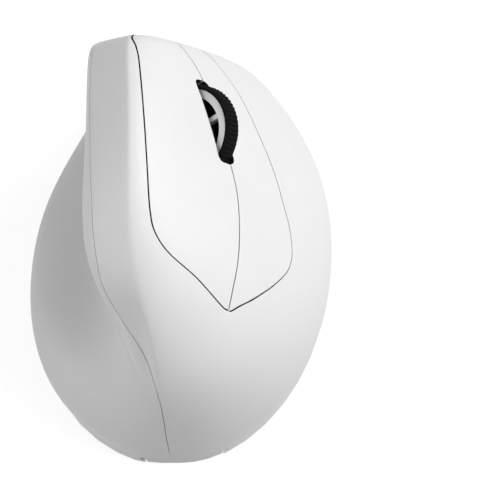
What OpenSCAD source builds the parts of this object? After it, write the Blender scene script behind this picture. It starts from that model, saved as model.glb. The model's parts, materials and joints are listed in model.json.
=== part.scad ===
// Vertical mouse for the right hand. The palm rests on a sloping face with two hinged
// buttons and a scroll wheel that turns and clicks. Two thumb buttons sit under the overhang.

/* [Body] */
// Width across the thumb flare and the right bulge
body_width = 69; // [64:0.5:76]
// Length from heel to nose
body_length = 101; // [95:0.5:112]
// Height of the ridge above the table
body_height = 67.4; // [63:0.2:74]
// Wall of the thumb shell and the palm shell
shell_wall = 1.8; // [1.5:0.1:2.2]
// Open line between the two shells
shell_seam = 0.2; // [0.1:0.05:0.4]
// Height of the rim where the shells stand on the base
rim_height = 3.4; // [3.2:0.1:4.2]

/* [Main buttons] */
// Wall of the button caps, along the press
cap_wall = 1.6; // [1.3:0.1:1.9]
// Open line round the button caps
button_gap = 0.3; // [0.25:0.05:0.5]
// Turn of a button at full press, in degrees
press_angle = 0.6; // [0.4:0.1:0.8]
// Width of the lever under each cap
arm_width = 4; // [3:0.5:4]
// Thickness of the lever under each cap
arm_thickness = 1.6; // [1.2:0.1:1.8]
// Radius of the rod that the levers turn on
hinge_pin_radius = 1; // [0.8:0.05:1.2]

/* [Scroll wheel] */
// Outer radius of the tyre
wheel_radius = 10.7; // [10.3:0.1:11.4]
// Width of the tyre
wheel_width = 4; // [3.6:0.1:5]
// Depth of the axle under the palm face
wheel_sink = 6; // [5.4:0.1:6.6]
// Depth of the tyre's rubber
tyre_depth = 1.1; // [0.9:0.1:1.6]
// Width of the hub's outer ring
hub_ring = 1.8; // [1.2:0.1:2.2]
// Number of spokes
spoke_count = 5; // [3:1:8]
// Radius of the axle
axle_radius = 1.25; // [1:0.05:1.5]
// Tilt of the wheel's cradle at a full click, in degrees
click_angle = 1.2; // [0.8:0.1:1.4]
// Radius of the pin that the cradle tilts on
carrier_pin_radius = 1; // [0.8:0.05:1.2]

/* [Thumb buttons] */
// Travel of a thumb button
thumb_travel = 0.5; // [0.3:0.05:0.6]
// Height of a thumb button above the shell
thumb_proud = 0.8; // [0.4:0.1:1.2]
// Open line round the thumb buttons
thumb_gap = 0.4; // [0.3:0.05:0.6]

/* [Base] */
// Thickness of the glide pads
pad_height = 0.6; // [0.4:0.1:0.8]
// Width of the battery door between its tongues
door_width = 17; // [16:0.2:18]
// Width of each tongue of the battery door
tongue_width = 1; // [0.7:0.1:1.2]
// Radius of the screws
screw_radius = 1; // [0.8:0.05:1.2]
// Length of the receiver bay
receiver_length = 20; // [18:0.5:22]
// Width of the receiver bay
receiver_width = 12.6; // [12:0.2:14]
// Depth of the receiver bay
receiver_depth = 6; // [5:0.2:7]

/* [Battery] */
// Radius of the cell
battery_radius = 7.25; // [7:0.05:7.4]
// Length of the cell with its nub
battery_length = 50.5; // [49:0.25:51]
// Length of the pressed contact spring
spring_length = 6; // [5:0.5:7]

/* [Electronics] */
// Thickness of the circuit boards
board_thickness = 1.6; // [1:0.1:1.7]
// Side of the square push switches
switch_size = 4.5; // [4:0.1:4.8]
// Travel of the power knob
power_travel = 2.6; // [2:0.1:3]

/* [Fits] */
// Play between a pin and its bore, on the radius
pin_play = 0.05; // [0.02:0.01:0.09]
// Play round sliding pieces
slide_play = 0.2; // [0.15:0.05:0.25]
// Play between a push switch and the fully pressed piece above it
switch_play = 0.1; // [0.05:0.05:0.2]

/* [Hidden] */
$fn = 48;

// Colours, as the photograph shows them outside and as usual inside
white_shell = [0.93, 0.93, 0.93];
grey_inside = [0.30, 0.31, 0.33];
black_rubber = [0.03, 0.03, 0.03];
steel = [0.70, 0.71, 0.73];
board_green = [0.05, 0.28, 0.14];
chip_black = [0.06, 0.06, 0.07];
clear_plastic = [0.80, 0.86, 0.90, 0.5];
copper_top = [0.72, 0.45, 0.20];

// Small helpers
function unit(v) = v / norm(v);
function mix(a, b, k) = a + (b - a) * k;
function clamp01(k) = max(0, min(1, k));
function spread(a, b, n) = [for (k = [0:n]) mix(a, b, k / n)];
function rest_of(list) = [for (k = [1:len(list) - 1]) list[k]];
function reversed(list) = [for (k = [len(list) - 1:-1:0]) list[k]];
function flattened(lists) = [for (l = lists) each l];

// The form is a smooth surface over a net of rails that run from heel to nose.
// A station gives a rail's place along the length at the rim, and how far it leans back per height.
stations = [
  [-50.5, 0], [-40.5, 0.05], [-23, 0.12], [-4, 0.2], [14, 0.28], [31, 0.36], [45, 0.42], [50.5, 0.44]];
heel_pole = [-2, -50.5, 0];
nose_pole = [2, 50.5, 0];
// Share of the way from the last station to the nose where the front face is drawn in
nose_draw = 0.35;
// Width, length and height above the rim that the rails are drawn at
form_size = [69, 101, 64];

// Each rail holds its places across and its heights above the rim, one at each station
rails = [
  // Foot, lip and top of the thumb flare
  [[-11, -25, -32.2, -33.7, -31, -23.5, -16.5, -13], [0, 0, 0, 0, 0, 0, 0, 0]],
  [[-12, -27.8, -35.4, -36.4, -33.4, -25, -17.5, -14], [3.5, 5, 6, 6, 6, 6, 6, 6]],
  [[-11, -24.4, -30, -29.5, -26.5, -20.5, -16.5, -13.5], [8, 12, 11, 10, 10, 11, 13, 14]],
  // Root and wall of the thumb recess
  [[-9, -18, -18, -15, -13.5, -13.5, -14.5, -13], [12, 21, 16, 13, 14, 16, 19, 21]],
  [[-7, -13.5, -12.5, -10.5, -10, -11.5, -13.5, -13], [16, 28, 28, 27, 27, 28, 28, 28]],
  // Underside and nose of the overhang
  [[-5.5, -11, -14.5, -14, -13.5, -14, -15, -14], [19, 34, 40, 42, 42, 41, 38, 36]],
  [[-4.5, -9, -20, -21.2, -20.6, -20.8, -21, -20], [21, 37, 46, 49.5, 51, 51, 49, 47]],
  // Lower and upper edge of the facet, then the ridge
  [[-4, -7, -18.3, -19.5, -18.7, -18.9, -19.1, -18.1], [22, 39, 49.3, 54, 55.5, 55.5, 54, 52]],
  [[-3.5, -5, -10, -10.2, -10, -10.4, -11, -10.6], [23, 40, 54.4, 60.9, 63.6, 64, 63, 60.6]],
  [[-3, -3, -8.9, -9.7, -9.6, -10, -10.6, -10.2], [23.5, 41, 54.9, 61.3, 64, 64.4, 63.4, 61]],
  // Shoulder and the two rails of the palm face
  [[-1, 1.5, -1.8, -4.5, -5, -5.5, -6.2, -6.5], [23.5, 40.5, 54.2, 61, 63.6, 64, 62.8, 60.4]],
  [[3, 10.5, 12, 10.5, 8.5, 5, 1.5, 0], [22, 35.5, 45, 49, 51, 52, 52, 50]],
  [[5.5, 16.6, 22.4, 22.5, 20.5, 15, 9, 6], [17, 27, 32, 34, 36, 38, 39, 37.5]],
  // Crease, bulge and foot of the right skirt
  [[7, 20.8, 29.6, 32.3, 30.8, 24.7, 16.6, 11.7], [11, 15.5, 19, 20, 22, 24, 25, 24]],
  [[8, 22.8, 32.6, 35.6, 35, 29.7, 20.5, 14.6], [5, 6, 7, 8, 8, 9, 10, 10]],
  [[7.5, 21.3, 31.2, 34.4, 33.5, 27.9, 19, 13.6], [0, 0, 0, 0, 0, 0, 0, 0]]];

function to_size(p) = [
  p.x * body_width / form_size.x,
  p.y * body_length / form_size.y,
  rim_height + p.z * (body_height - rim_height) / form_size.z];
function rail_point(rail, i) =
  [rail[0][i], stations[i][0] - stations[i][1] * rail[1][i], rail[1][i]];
last_station = len(stations) - 1;
net = concat(
  [[for (r = rails) to_size(heel_pole)]],
  [for (i = [0:last_station]) [for (r = rails) to_size(rail_point(r, i))]],
  [[for (r = rails) to_size(mix(rail_point(r, last_station), nose_pole, nose_draw))]],
  [[for (r = rails) to_size(nose_pole)]]);

// Smooth cubic spline over a list of points. The first and last points are met exactly.
function spline_weights(f) =
  [pow(1 - f, 3), 3 * pow(f, 3) - 6 * f * f + 4, -3 * pow(f, 3) + 3 * f * f + 3 * f + 1, pow(f, 3)] / 6;
function spline_slopes(f) =
  [-pow(1 - f, 2), 3 * f * f - 4 * f, -3 * f * f + 2 * f + 1, f * f] / 2;
function near(list, i) = list[max(0, min(len(list) - 1, i))];
function spline(list, x, slope = false) =
  let (
    j = max(0, min(len(list), floor(x))),
    w = slope ? spline_slopes(x - j) : spline_weights(x - j))
  w[0] * near(list, j - 2) + w[1] * near(list, j - 1) + w[2] * near(list, j) + w[3] * near(list, j + 1);

// A place on the surface has s along the body, from heel to nose, and t around it, from the
// foot of the thumb flare over the ridge to the foot of the right skirt.
s_end = len(net) + 1;
t_end = len(rails) + 1;
function skin_point(s, t) = spline(spline(net, s), t) - dent(s, t);
function slope_along(s, t) = spline(spline(net, s, true), t);
function slope_around(s, t) = spline(spline(net, s), t, true);

// Soft dent where the thumb recess runs out beside the heel
dent_place = [3.1, 7.9];
dent_width = [0.5, 0.9];
dent_depth = 2.6;
dent_way = unit([-0.55, -0.35, 0.75]);
function bell(x) = pow(clamp01(1 - x * x / 4), 3);
function dent(s, t) =
  let (
    along = bell((s - dent_place[0]) / dent_width[0]),
    around = bell((t - dent_place[1]) / dent_width[1]))
  along * around * dent_depth * dent_way;

// Outward direction for a wall. It lies level at the rim, so that the rim stays flat.
level_height = 5;
function outward(s, p, along, around) =
  s <= 0 ? [0, -1, 0] :
  s >= s_end ? [0, 1, 0] :
  let (n = unit(cross(around, along)))
  unit([n.x, n.y, n.z * clamp01((p.z - rim_height) / level_height)]);

// One row of places, each with its point and its outward direction. The surface comes to rest
// at the rim, so its direction there is read a little way in.
rim_step = 0.05;
function skin_row(s, ts) =
  let (row = spline(net, s), rise = spline(net, s, true))
  [for (t = ts)
    let (p = spline(row, t) - dent(s, t), inside = max(rim_step, min(t_end - rim_step, t)))
    [p, outward(s, p, spline(rise, inside), spline(row, inside, true))]];
function skin_place(s, t) = skin_row(s, [t])[0];

// Frame of the palm face: across the wheel, forward along it, and out of the face
wheel_s = 6.6;
wheel_t = 12.28;
face_origin = skin_point(wheel_s, wheel_t);
face_forward = unit(slope_along(wheel_s, wheel_t));
face_out = unit(cross(slope_around(wheel_s, wheel_t), slope_along(wheel_s, wheel_t)));
face_across = cross(face_forward, face_out);
face_steps = [norm(slope_along(wheel_s, wheel_t)), norm(slope_around(wheel_s, wheel_t))];

function to_face(p) =
  let (d = p - face_origin)
  [d * face_across, d * face_forward, d * face_out];
function from_face(q) = face_origin + q.x * face_across + q.y * face_forward + q.z * face_out;

// Place on the surface that lies over a point of the palm face, found in a few steps
function seek(x, y, s, t, steps) =
  steps == 0 ? [s, t] :
  let (q = to_face(skin_point(s, t)))
  seek(x, y, s + (y - q.y) / face_steps[0], t + (x - q.x) / face_steps[1], steps - 1);
function face_height(x, y) =
  let (st = seek(x, y, wheel_s + y / face_steps[0], wheel_t + x / face_steps[1], 6))
  to_face(skin_point(st[0], st[1])).z;

module in_face() {
  multmatrix([
    [face_across.x, face_forward.x, face_out.x, face_origin.x],
    [face_across.y, face_forward.y, face_out.y, face_origin.y],
    [face_across.z, face_forward.z, face_out.z, face_origin.z],
    [0, 0, 0, 1]])
    children();
}

// A profile drawn forward and out, carried across from x0 to x1
module carried(x0, x1) {
  translate([x0, 0, 0])
    rotate([90, 0, 90])
      linear_extrude(x1 - x0)
        children();
}

module rod_across(yz, x0, x1, r) {
  translate([x0, yz[0], yz[1]])
    rotate([0, 90, 0])
      cylinder(h = x1 - x0, r = r);
}

// Closed sheet between an outer and an inner grid of points. Cells that live() refuses are open.
// With poles, the first and the last row are a single point each.
module sheet(outer, inner, live = function(i, j) true, poles = false) {
  rows = len(outer);
  cols = len(outer[0]);
  function used(i, j) = i >= 0 && j >= 0 && i < rows - 1 && j < cols - 1 && live(i, j);
  function id(i, j) = poles && (i == 0 || i == rows - 1) ? i * cols : i * cols + j;
  function sound(f) = f[0] != f[1] && f[1] != f[2] && f[2] != f[0];
  function wall(p, q) = [[p, q, q + rows * cols], [p, q + rows * cols, p + rows * cols]];
  function cell(i, j) =
    let (
      a = id(i, j), b = id(i, j + 1), c = id(i + 1, j + 1), d = id(i + 1, j),
      under = rows * cols)
    concat(
      [[a, d, c], [a, c, b], [a + under, b + under, c + under], [a + under, c + under, d + under]],
      used(i, j - 1) ? [] : wall(d, a),
      used(i + 1, j) ? [] : wall(c, d),
      used(i, j + 1) ? [] : wall(b, c),
      used(i - 1, j) ? [] : wall(a, b));
  polyhedron(
    points = concat(flattened(outer), flattened(inner)),
    faces = [for (i = [0:rows - 2], j = [0:cols - 2]) if (used(i, j))
      each [for (f = cell(i, j)) if (sound(f)) f]]);
}

// Keeps a joined set of faceted pieces as one mesh
module one_mesh() {
  resize([0, 0, 0]) union() children();
}

// Smooth curve of t over s through a few chosen places
function curve_slope(table, k) =
  let (a = table[max(0, k - 1)], b = table[min(len(table) - 1, k + 1)])
  (b[1] - a[1]) / (b[0] - a[0]);
function curve(table, s, k = 0) =
  k < len(table) - 2 && s > table[k + 1][0] ? curve(table, s, k + 1) :
  let (
    a = table[k], b = table[k + 1], w = b[0] - a[0], f = (s - a[0]) / w,
    f2 = f * f, f3 = f2 * f)
  (2 * f3 - 3 * f2 + 1) * a[1] + (f3 - 2 * f2 + f) * w * curve_slope(table, k)
  + (3 * f2 - 2 * f3) * b[1] + (f3 - f2) * w * curve_slope(table, k + 1);

// Seams of the button panel, as places [s, t] from the round tip of the shield to the front
tip_s = 3.6;
panel_front = 9.3;
left_places = [
  [tip_s, 11.99], [3.62, 11.92], [3.72, 11.74], [3.94, 11.4], [4.08, 11.13], [4.2, 10.93], [4.4, 10.73],
  [4.6, 10.65], [5.4, 10.65], [6.3, 10.59], [7.4, 10.49], [7.8, 10.43], [8.16, 10.26], [8.4, 10.02],
  [8.6, 9.86], [panel_front, 9.75]];
middle_places = [
  [tip_s, 12.04], [3.9, 12.1], [4.2, 12.17], [4.5, 12.22], [5, 12.27], [5.4, 12.28], [5.86, 12.25],
  [7.43, 12.23], [7.87, 12.18], [8.17, 12.09], [8.56, 11.97], [panel_front, 11.75]];
right_places = [
  [tip_s, 12.09], [3.62, 12.13], [3.71, 12.27], [3.84, 12.49], [4, 12.72], [4.18, 12.95], [4.43, 13.21],
  [4.57, 13.29], [4.75, 13.32], [5.07, 13.28], [5.47, 13.18], [6, 13.11], [6.6, 13.06], [7.4, 13.06],
  [7.83, 13], [8.3, 12.9], [8.7, 12.77], [panel_front, 12.6]];

// Behind the tip and past the front the two sides only share out the columns of the palm shell
left_fan = 0.3;
right_fan = 0.4;
function left_seam(s) =
  s < tip_s ? left_places[0][1] - left_fan * (tip_s - s) : curve(left_places, min(s, panel_front));
function right_seam(s) =
  s < tip_s ? right_places[0][1] + right_fan * (tip_s - s) : curve(right_places, min(s, panel_front));

// Seam between the thumb shell and the palm shell. It runs below the facet, then up to the heel.
thumb_places = [
  [0, 9.4], [1.4, 9.4], [2.04, 9.35], [2.7, 8.1], [3.2, 7.58], [3.7, 7.7], [4.2, 8], [5, 8.05],
  [5.6, 7.93], [6.7, 7.78], [8.1, 7.8], [s_end, 7.8]];
function thumb_seam(s) = curve(thumb_places, s);

// Step in t that moves a place by a length across the surface
function t_step(s, t, length) = length / max(0.2, norm(slope_around(s, t)));
// Length of a step as seen along the press of the main buttons
function seen_length(v) = norm(v - (v * face_out) * face_out);
// Step in t for the open line beside a seam, also where the seam runs at a slant. The second pass
// reads the slopes in the middle of the step, because they change fast beside the ridge.
slant_step = 0.02;
function t_inset(s, places, side, inset = 0, passes = 2) =
  passes == 0 ? inset :
  let (
    t = curve(places, s) + side * inset / 2,
    run = (curve(places, s + slant_step) - curve(places, s - slant_step)) / (2 * slant_step),
    around = seen_length(slope_around(s, t)),
    slant = run * around / seen_length(slope_along(s, t)))
  t_inset(s, places, side, button_gap * sqrt(1 + slant * slant) / around, passes - 1);

// Rows shared by the shells, first and last at the poles
first_s = 0.8;
last_s = 11.2;
crest_s = 8.1;
shoulder_s = 4.8;
// Rows of the shield's tip, closer together where it is round
tip_round = 3.74;
tip_rows = concat(
  [for (k = [0:3]) mix(tip_s, tip_round, k * k / 9)], rest_of(spread(tip_round, shoulder_s, 8)));

// Opening of the thumb buttons in the thumb shell
window_rear = 4.75;
window_front = 7.9;
window_low = 5.8;
window_high = 7;
window_split = mix(window_rear, window_front, 0.5);

// Screw bosses stand inside the rim of the shells
boss_radius = 2.7;
boss_height = 6;
boss_depth = 5;
boss_places = [4.4, 7];
boss_merge = 0.8;
boss_sides = 16;
boss_bore = screw_radius / cos(180 / boss_sides) + 0.02;
function boss_spot(s, t) =
  let (k = skin_place(s, t))
  k[0] - k[1] * (shell_wall + boss_radius - boss_merge);
function boss_spots(t) = [for (s = boss_places) boss_spot(s, t)];

module shell_bosses(t) {
  for (p = boss_spots(t))
    translate(p)
      difference() {
        cylinder(h = boss_height, r = boss_radius, $fn = 24);
        translate([0, 0, -1]) cylinder(h = boss_depth + 1, r = boss_bore, $fn = boss_sides);
      }
}

module thumb_shell() {
  rear_rows = 11;
  window_rows = 10;
  front_rows = 15;
  low_cols = 12;
  window_cols = 4;
  top_cols = 4;
  rows = concat(
    [0], spread(first_s, window_rear, rear_rows),
    rest_of(spread(window_rear, window_front, window_rows)),
    rest_of(spread(window_front, last_s, front_rows)), [s_end]);
  function columns(s) =
    let (edge = thumb_seam(s) - t_step(s, thumb_seam(s), shell_seam / 2))
    concat(
      spread(0, window_low, low_cols),
      rest_of(spread(window_low, window_high, window_cols)),
      rest_of(spread(window_high, edge, top_cols)));
  i0 = rear_rows + 1;
  i1 = i0 + window_rows;
  j0 = low_cols;
  j1 = j0 + window_cols;
  skin = [for (s = rows) skin_row(s, columns(s))];
  outer = [for (row = skin) [for (k = row) k[0]]];
  inner = [for (i = [0:len(skin) - 1]) [for (j = [0:len(skin[i]) - 1])
    let (k = skin[i][j], at_window = i >= i0 && i <= i1 && j >= j0 && j <= j1)
    k[0] - shell_wall * (at_window ? -face_out : k[1])]];
  color(white_shell)
    one_mesh() {
      sheet(outer, inner, function(i, j) i < i0 || i >= i1 || j < j0 || j >= j1, poles = true);
      shell_bosses(0);
    }
}

module palm_shell() {
  rear_rows = 10;
  face_rows = 8;
  crest_rows = 8;
  front_rows = 7;
  strip_cols = 9;
  panel_cols = 8;
  skirt_cols = 10;
  rows = concat(
    [0], spread(first_s, tip_s, rear_rows),
    rest_of(tip_rows),
    rest_of(spread(shoulder_s, crest_s, face_rows)),
    rest_of(spread(crest_s, panel_front, crest_rows)),
    rest_of(spread(panel_front, last_s, front_rows)), [s_end]);
  function columns(s) =
    let (edge = thumb_seam(s) + t_step(s, thumb_seam(s), shell_seam / 2))
    concat(
      spread(edge, left_seam(s), strip_cols),
      rest_of(spread(left_seam(s), right_seam(s), panel_cols)),
      rest_of(spread(right_seam(s), t_end, skirt_cols)));
  i0 = rear_rows + 1;
  i1 = i0 + len(tip_rows) - 1 + face_rows + crest_rows;
  j0 = strip_cols;
  j1 = j0 + panel_cols;
  skin = [for (s = rows) skin_row(s, columns(s))];
  outer = [for (row = skin) [for (k = row) k[0]]];
  inner = [for (i = [0:len(skin) - 1]) [for (j = [0:len(skin[i]) - 1])
    let (k = skin[i][j], at_panel = i >= i0 && i <= i1 && j >= j0 && j <= j1)
    k[0] - shell_wall * (at_panel ? face_out : k[1])]];
  color(white_shell)
    one_mesh() {
      sheet(outer, inner, function(i, j) i < i0 || i >= i1 || j < j0 || j >= j1, poles = true);
      shell_bosses(t_end);
    }
}

// Scroll wheel, drawn in the frame of the palm face
wheel_shift = -1.7;
wheel_left = wheel_shift - wheel_width / 2;
wheel_right = wheel_shift + wheel_width / 2;
wheel_yz = [0, -wheel_sink];
hub_radius = wheel_radius - tyre_depth;
hub_inset = 0.2;
hub_core = 3;
spoke_width = 1.1;
spoke_depth = 1.4;

// Cradle of the wheel: two cheeks, a pivot barrel behind and a bar in front
cheek_play = 0.6;
cheek = 1.2;
carrier_left = wheel_left - cheek_play - cheek;
carrier_right = wheel_right + cheek_play + cheek;
carrier_barrel = 2.2;
axle_boss = 2.6;
pivot_yz = [-wheel_radius - carrier_barrel - 1.9, -11.5];
bar_rear = wheel_radius + 1.8;
bar_front = bar_rear + 3;
bar_top = -3.8;
bar_low = bar_top - 1.8;
axle_end = 2.2;
encoder_width = 2.6;
encoder_half = 4.5;
encoder_top = -3.2;
encoder_low = -10.4;

module wheel_hub() {
  inner_ring = hub_radius - hub_ring;
  color(white_shell)
    in_face()
      difference() {
        union() {
          difference() {
            rod_across(wheel_yz, wheel_left + hub_inset, wheel_right - hub_inset, hub_radius);
            rod_across(wheel_yz, wheel_left - 1, wheel_right + 1, inner_ring);
          }
          rod_across(wheel_yz, wheel_left + hub_inset, wheel_right - hub_inset, hub_core);
          for (k = [0:spoke_count - 1])
            translate([wheel_shift, wheel_yz[0], wheel_yz[1]])
              rotate([k * 360 / spoke_count, 0, 0])
                translate([-wheel_width / 2 + 2 * hub_inset, -spoke_width / 2, hub_core - 1])
                  cube([spoke_depth, spoke_width, inner_ring - hub_core + 1.5]);
        }
        rod_across(wheel_yz, wheel_left - 1, wheel_right + 1, axle_radius);
      }
}

module wheel_tyre() {
  crown = 0.7;
  half = wheel_width / 2;
  color(black_rubber)
    in_face()
      translate([wheel_shift, wheel_yz[0], wheel_yz[1]])
        rotate([0, 90, 0])
          rotate_extrude($fn = 96)
            polygon([
              [hub_radius, -half], [wheel_radius - crown, -half], [wheel_radius, -half + crown],
              [wheel_radius, half - crown], [wheel_radius - crown, half], [hub_radius, half]]);
}

module wheel_axle() {
  color(steel)
    in_face()
      rod_across(wheel_yz, carrier_left - 0.4, carrier_right + axle_end, axle_radius);
}

module carrier_cheek_profile() {
  inset = 0.4;
  polygon([
    pivot_yz - [0, carrier_barrel - inset], pivot_yz + [0, carrier_barrel - inset],
    wheel_yz + [0, axle_boss - inset], [bar_front, bar_top], [bar_front, bar_low],
    wheel_yz - [0, axle_boss - inset]]);
  translate(pivot_yz) circle(carrier_barrel);
  translate(wheel_yz) circle(axle_boss);
}

module wheel_carrier() {
  color(grey_inside)
    in_face()
      difference() {
        union() {
          carried(carrier_left, carrier_left + cheek) carrier_cheek_profile();
          carried(carrier_right - cheek, carrier_right) carrier_cheek_profile();
          rod_across(pivot_yz, carrier_left, carrier_right, carrier_barrel);
          translate([carrier_left, bar_rear, bar_low])
            cube([carrier_right - carrier_left, bar_front - bar_rear, bar_top - bar_low]);
        }
        rod_across(pivot_yz, carrier_left - 1, carrier_right + 1, carrier_pin_radius + pin_play);
        rod_across(wheel_yz, carrier_left - 1, carrier_right + 1, axle_radius + pin_play);
      }
}

module carrier_pin() {
  color(steel)
    in_face()
      rod_across(
        pivot_yz, carrier_left - lug_play - lug, carrier_right + lug_play + lug, carrier_pin_radius);
}

module scroll_encoder() {
  color(chip_black)
    in_face()
      difference() {
        translate([carrier_right, -encoder_half, encoder_low])
          cube([encoder_width, 2 * encoder_half, encoder_top - encoder_low]);
        rod_across(wheel_yz, carrier_right - 1, carrier_right + encoder_width + 1, axle_radius + pin_play);
      }
}

// Levers of the main buttons, drawn in the frame of the palm face
hinge_yz = [-33, -15];
barrel_radius = hinge_pin_radius + 1.1;
arm_rear = [-26, -9.2];
arm_front = [11, -5.6];
left_arm_x = -10.5;
right_arm_x = 8.5;
barrel_length = arm_width + 2;
lug = 2;
lug_play = 0.3;
switch_y = 7;
function arm_top(y) = mix(arm_rear[1], arm_front[1], (y - arm_rear[0]) / (arm_front[0] - arm_rear[0]));
function arm_drop(y) = (y - hinge_yz[0]) * tan(press_angle);

module arm_profile() {
  elbow = 1.4;
  polygon([
    arm_front, arm_rear, hinge_yz + [-elbow, elbow], hinge_yz + [elbow, -elbow],
    arm_rear + [elbow, -arm_thickness], arm_front - [0, arm_thickness]]);
}

// The barrel reaches from the lever's outer side towards the middle
module arm(x, inward) {
  x0 = x - arm_width / 2;
  x1 = x + arm_width / 2;
  barrel_left = inward > 0 ? x0 : x1 - barrel_length;
  color(grey_inside)
    in_face()
      difference() {
        union() {
          carried(x0, x1) arm_profile();
          rod_across(hinge_yz, barrel_left, barrel_left + barrel_length, barrel_radius);
        }
        rod_across(hinge_yz, barrel_left - 1, barrel_left + barrel_length + 1, hinge_pin_radius + pin_play);
      }
}

module left_arm() {
  arm(left_arm_x, 1);
}

module right_arm() {
  arm(right_arm_x, -1);
}

left_barrel = left_arm_x - arm_width / 2;
right_barrel = right_arm_x + arm_width / 2 - barrel_length;
lug_starts = [
  left_barrel - lug_play - lug, left_barrel + barrel_length + lug_play,
  right_barrel - lug_play - lug, right_barrel + barrel_length + lug_play];

module hinge_pin() {
  color(steel)
    in_face()
      rod_across(hinge_yz, lug_starts[0], lug_starts[3] + lug, hinge_pin_radius);
}

// Slot for the wheel between the main buttons. It is as wide as the wheel and its play, reaches
// past the wheel under the caps, and has round corners. The sag is the fall of the face to its ends.
slot_play = 0.6;
slot_end_play = 0.4;
slot_corner = 1.6;
slot_sag = 0.5;
slot_side = wheel_width / 2 + slot_play;
slot_half = sqrt(pow(wheel_radius, 2) - pow(wheel_sink - cap_wall - slot_sag, 2)) + slot_end_play;
function slot_row(y) = seek(wheel_shift, y, wheel_s, wheel_t, 8)[0];
slot_turns = [0, 30, 60, 90];
slot_rows = concat(
  [for (a = slot_turns) slot_row(-slot_half + slot_corner * (1 - cos(a)))],
  [for (y = [-4, 0, 4]) slot_row(y)],
  [for (a = reversed(slot_turns)) slot_row(slot_half - slot_corner * (1 - cos(a)))]);
slot_rear = slot_rows[0];
slot_front = slot_rows[len(slot_rows) - 1];

// Half width of the slot at a length along it
function slot_reach(y) =
  let (past = max(0, abs(y) - slot_half + slot_corner))
  slot_side - slot_corner + sqrt(max(0, slot_corner * slot_corner - past * past));
// Place around the body where a row meets the left (-1) or the right (1) edge of the slot
function slot_t(s, side, t = wheel_t, steps = 6) =
  steps == 0 ? t :
  let (q = to_face(skin_point(s, t)))
  slot_t(s, side, t + (wheel_shift + side * slot_reach(q.y) - q.x) / face_steps[1], steps - 1);
// Inner edge of a cap: beside the open line at the middle seam, or beside the slot
function middle_edge(s, side) =
  let (t = curve(middle_places, s), line = t + side * t_step(s, t, button_gap / 2))
  s < slot_rear || s > slot_front ? line :
  side < 0 ? min(line, slot_t(s, side)) : max(line, slot_t(s, side));

// Caps of the main buttons. Their walls run along the press, so that the open line stays even.
// The wall is thinner at the outer and the front edge, which dip under the shell's edge at full press.
cap_tip = tip_s + button_gap / seen_length(slope_along(tip_s, middle_places[0][1]));
cap_cols = 9;
cap_relief = 0.6;
// Least width of a cap at its tip, as a step of t
cap_least = 0.02;
// Step of s between the last row of the open line and the first row of the slot
slot_edge = 0.01;

// A press moves the front edge a little forward, so the open line is wider there
press_lead = -hinge_yz[1] * sin(press_angle);
function cap_front(ts) =
  panel_front - (button_gap + press_lead) / min([for (t = ts) seen_length(slope_along(panel_front, t))]);
function cap_rows(front) = concat(
  [cap_tip], [for (s = tip_rows) if (s > cap_tip + slot_edge) s],
  rest_of(spread(shoulder_s, slot_rear - slot_edge, 3)),
  slot_rows,
  spread(slot_front + slot_edge, crest_s, 2),
  rest_of(spread(crest_s, front, 8)));
post_radius = 1.6;
post_ys = [-18, 4];
post_seat = 0.15;

module cap(edges, outer_col, arm_x) {
  rows = cap_rows(cap_front(edges(panel_front)));
  outer = [for (s = rows) [for (k = skin_row(s, spread(edges(s)[0], edges(s)[1], cap_cols))) k[0]]];
  inner = [for (i = [0:len(outer) - 1]) [for (j = [0:cap_cols])
    let (at_edge = j == outer_col || i == len(outer) - 1)
    outer[i][j] - (at_edge ? cap_wall - cap_relief : cap_wall) * face_out]];
  color(white_shell)
    one_mesh() {
      sheet(outer, inner);
      in_face()
        for (y = post_ys)
          let (low = arm_top(y) + post_seat, high = face_height(arm_x, y) - cap_wall / 2)
          translate([arm_x, y, low])
            cylinder(h = high - low, r = post_radius, $fn = 24);
    }
}

module left_button() {
  cap(
    function(s) let (inner = middle_edge(s, -1))
      [min(curve(left_places, s) + t_inset(s, left_places, 1), inner - cap_least), inner],
    0,
    left_arm_x);
}

module right_button() {
  cap(
    function(s) let (inner = middle_edge(s, 1))
      [inner, max(curve(right_places, s) - t_inset(s, right_places, -1), inner + cap_least)],
    cap_cols,
    right_arm_x);
}

// Thumb buttons slide along the out direction of the palm face
thumb_wall = shell_wall;
thumb_middle_t = mix(window_low, window_high, 0.5);
back_s = mix(window_rear, window_split, 0.5);
forward_s = mix(window_split, window_front, 0.5);
stem_radius = 1.5;
board_top = -11.4;
board_low = board_top - board_thickness;
side_switch_height = 3;
stem_end = board_low - side_switch_height - thumb_travel - switch_play;

module thumb_button(rear, front, middle) {
  step_s = thumb_gap / norm(slope_along(middle, thumb_middle_t));
  step_t = thumb_gap / norm(slope_around(middle, thumb_middle_t));
  rows = spread(rear + step_s, front - step_s, 8);
  ts = spread(window_low + step_t, window_high - step_t, 6);
  skin = [for (s = rows) [for (k = skin_row(s, ts)) k[0]]];
  outer = [for (row = skin) [for (p = row) p - thumb_proud * face_out]];
  inner = [for (row = skin) [for (p = row) p + thumb_wall * face_out]];
  foot = to_face(skin_point(middle, thumb_middle_t));
  color(white_shell)
    one_mesh() {
      sheet(outer, inner);
      in_face()
        translate([foot.x, foot.y, foot.z + thumb_wall / 2])
          cylinder(h = stem_end - foot.z - thumb_wall / 2, r = stem_radius, $fn = 24);
    }
}

module back_button() {
  thumb_button(window_rear, window_split, back_s);
}

module forward_button() {
  thumb_button(window_split, window_front, forward_s);
}

// Tilted button board in the frame of the palm face
board_left = -17;
board_right = 13;
board_rear = -11;
board_front = bar_front + 0.6;
board_cut_left = carrier_left - 1.1;
board_cut_right = carrier_right + 1.1;
board_cut_front = bar_rear - 0.4;
corner_cut = 4;
board_posts = [[9, 2.3], [9, -8], [-8.9, -8]];
board_post_radius = 1.8;
screw_head_radius = 2;
screw_head = 1.3;
board_screw_length = 4;

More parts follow.
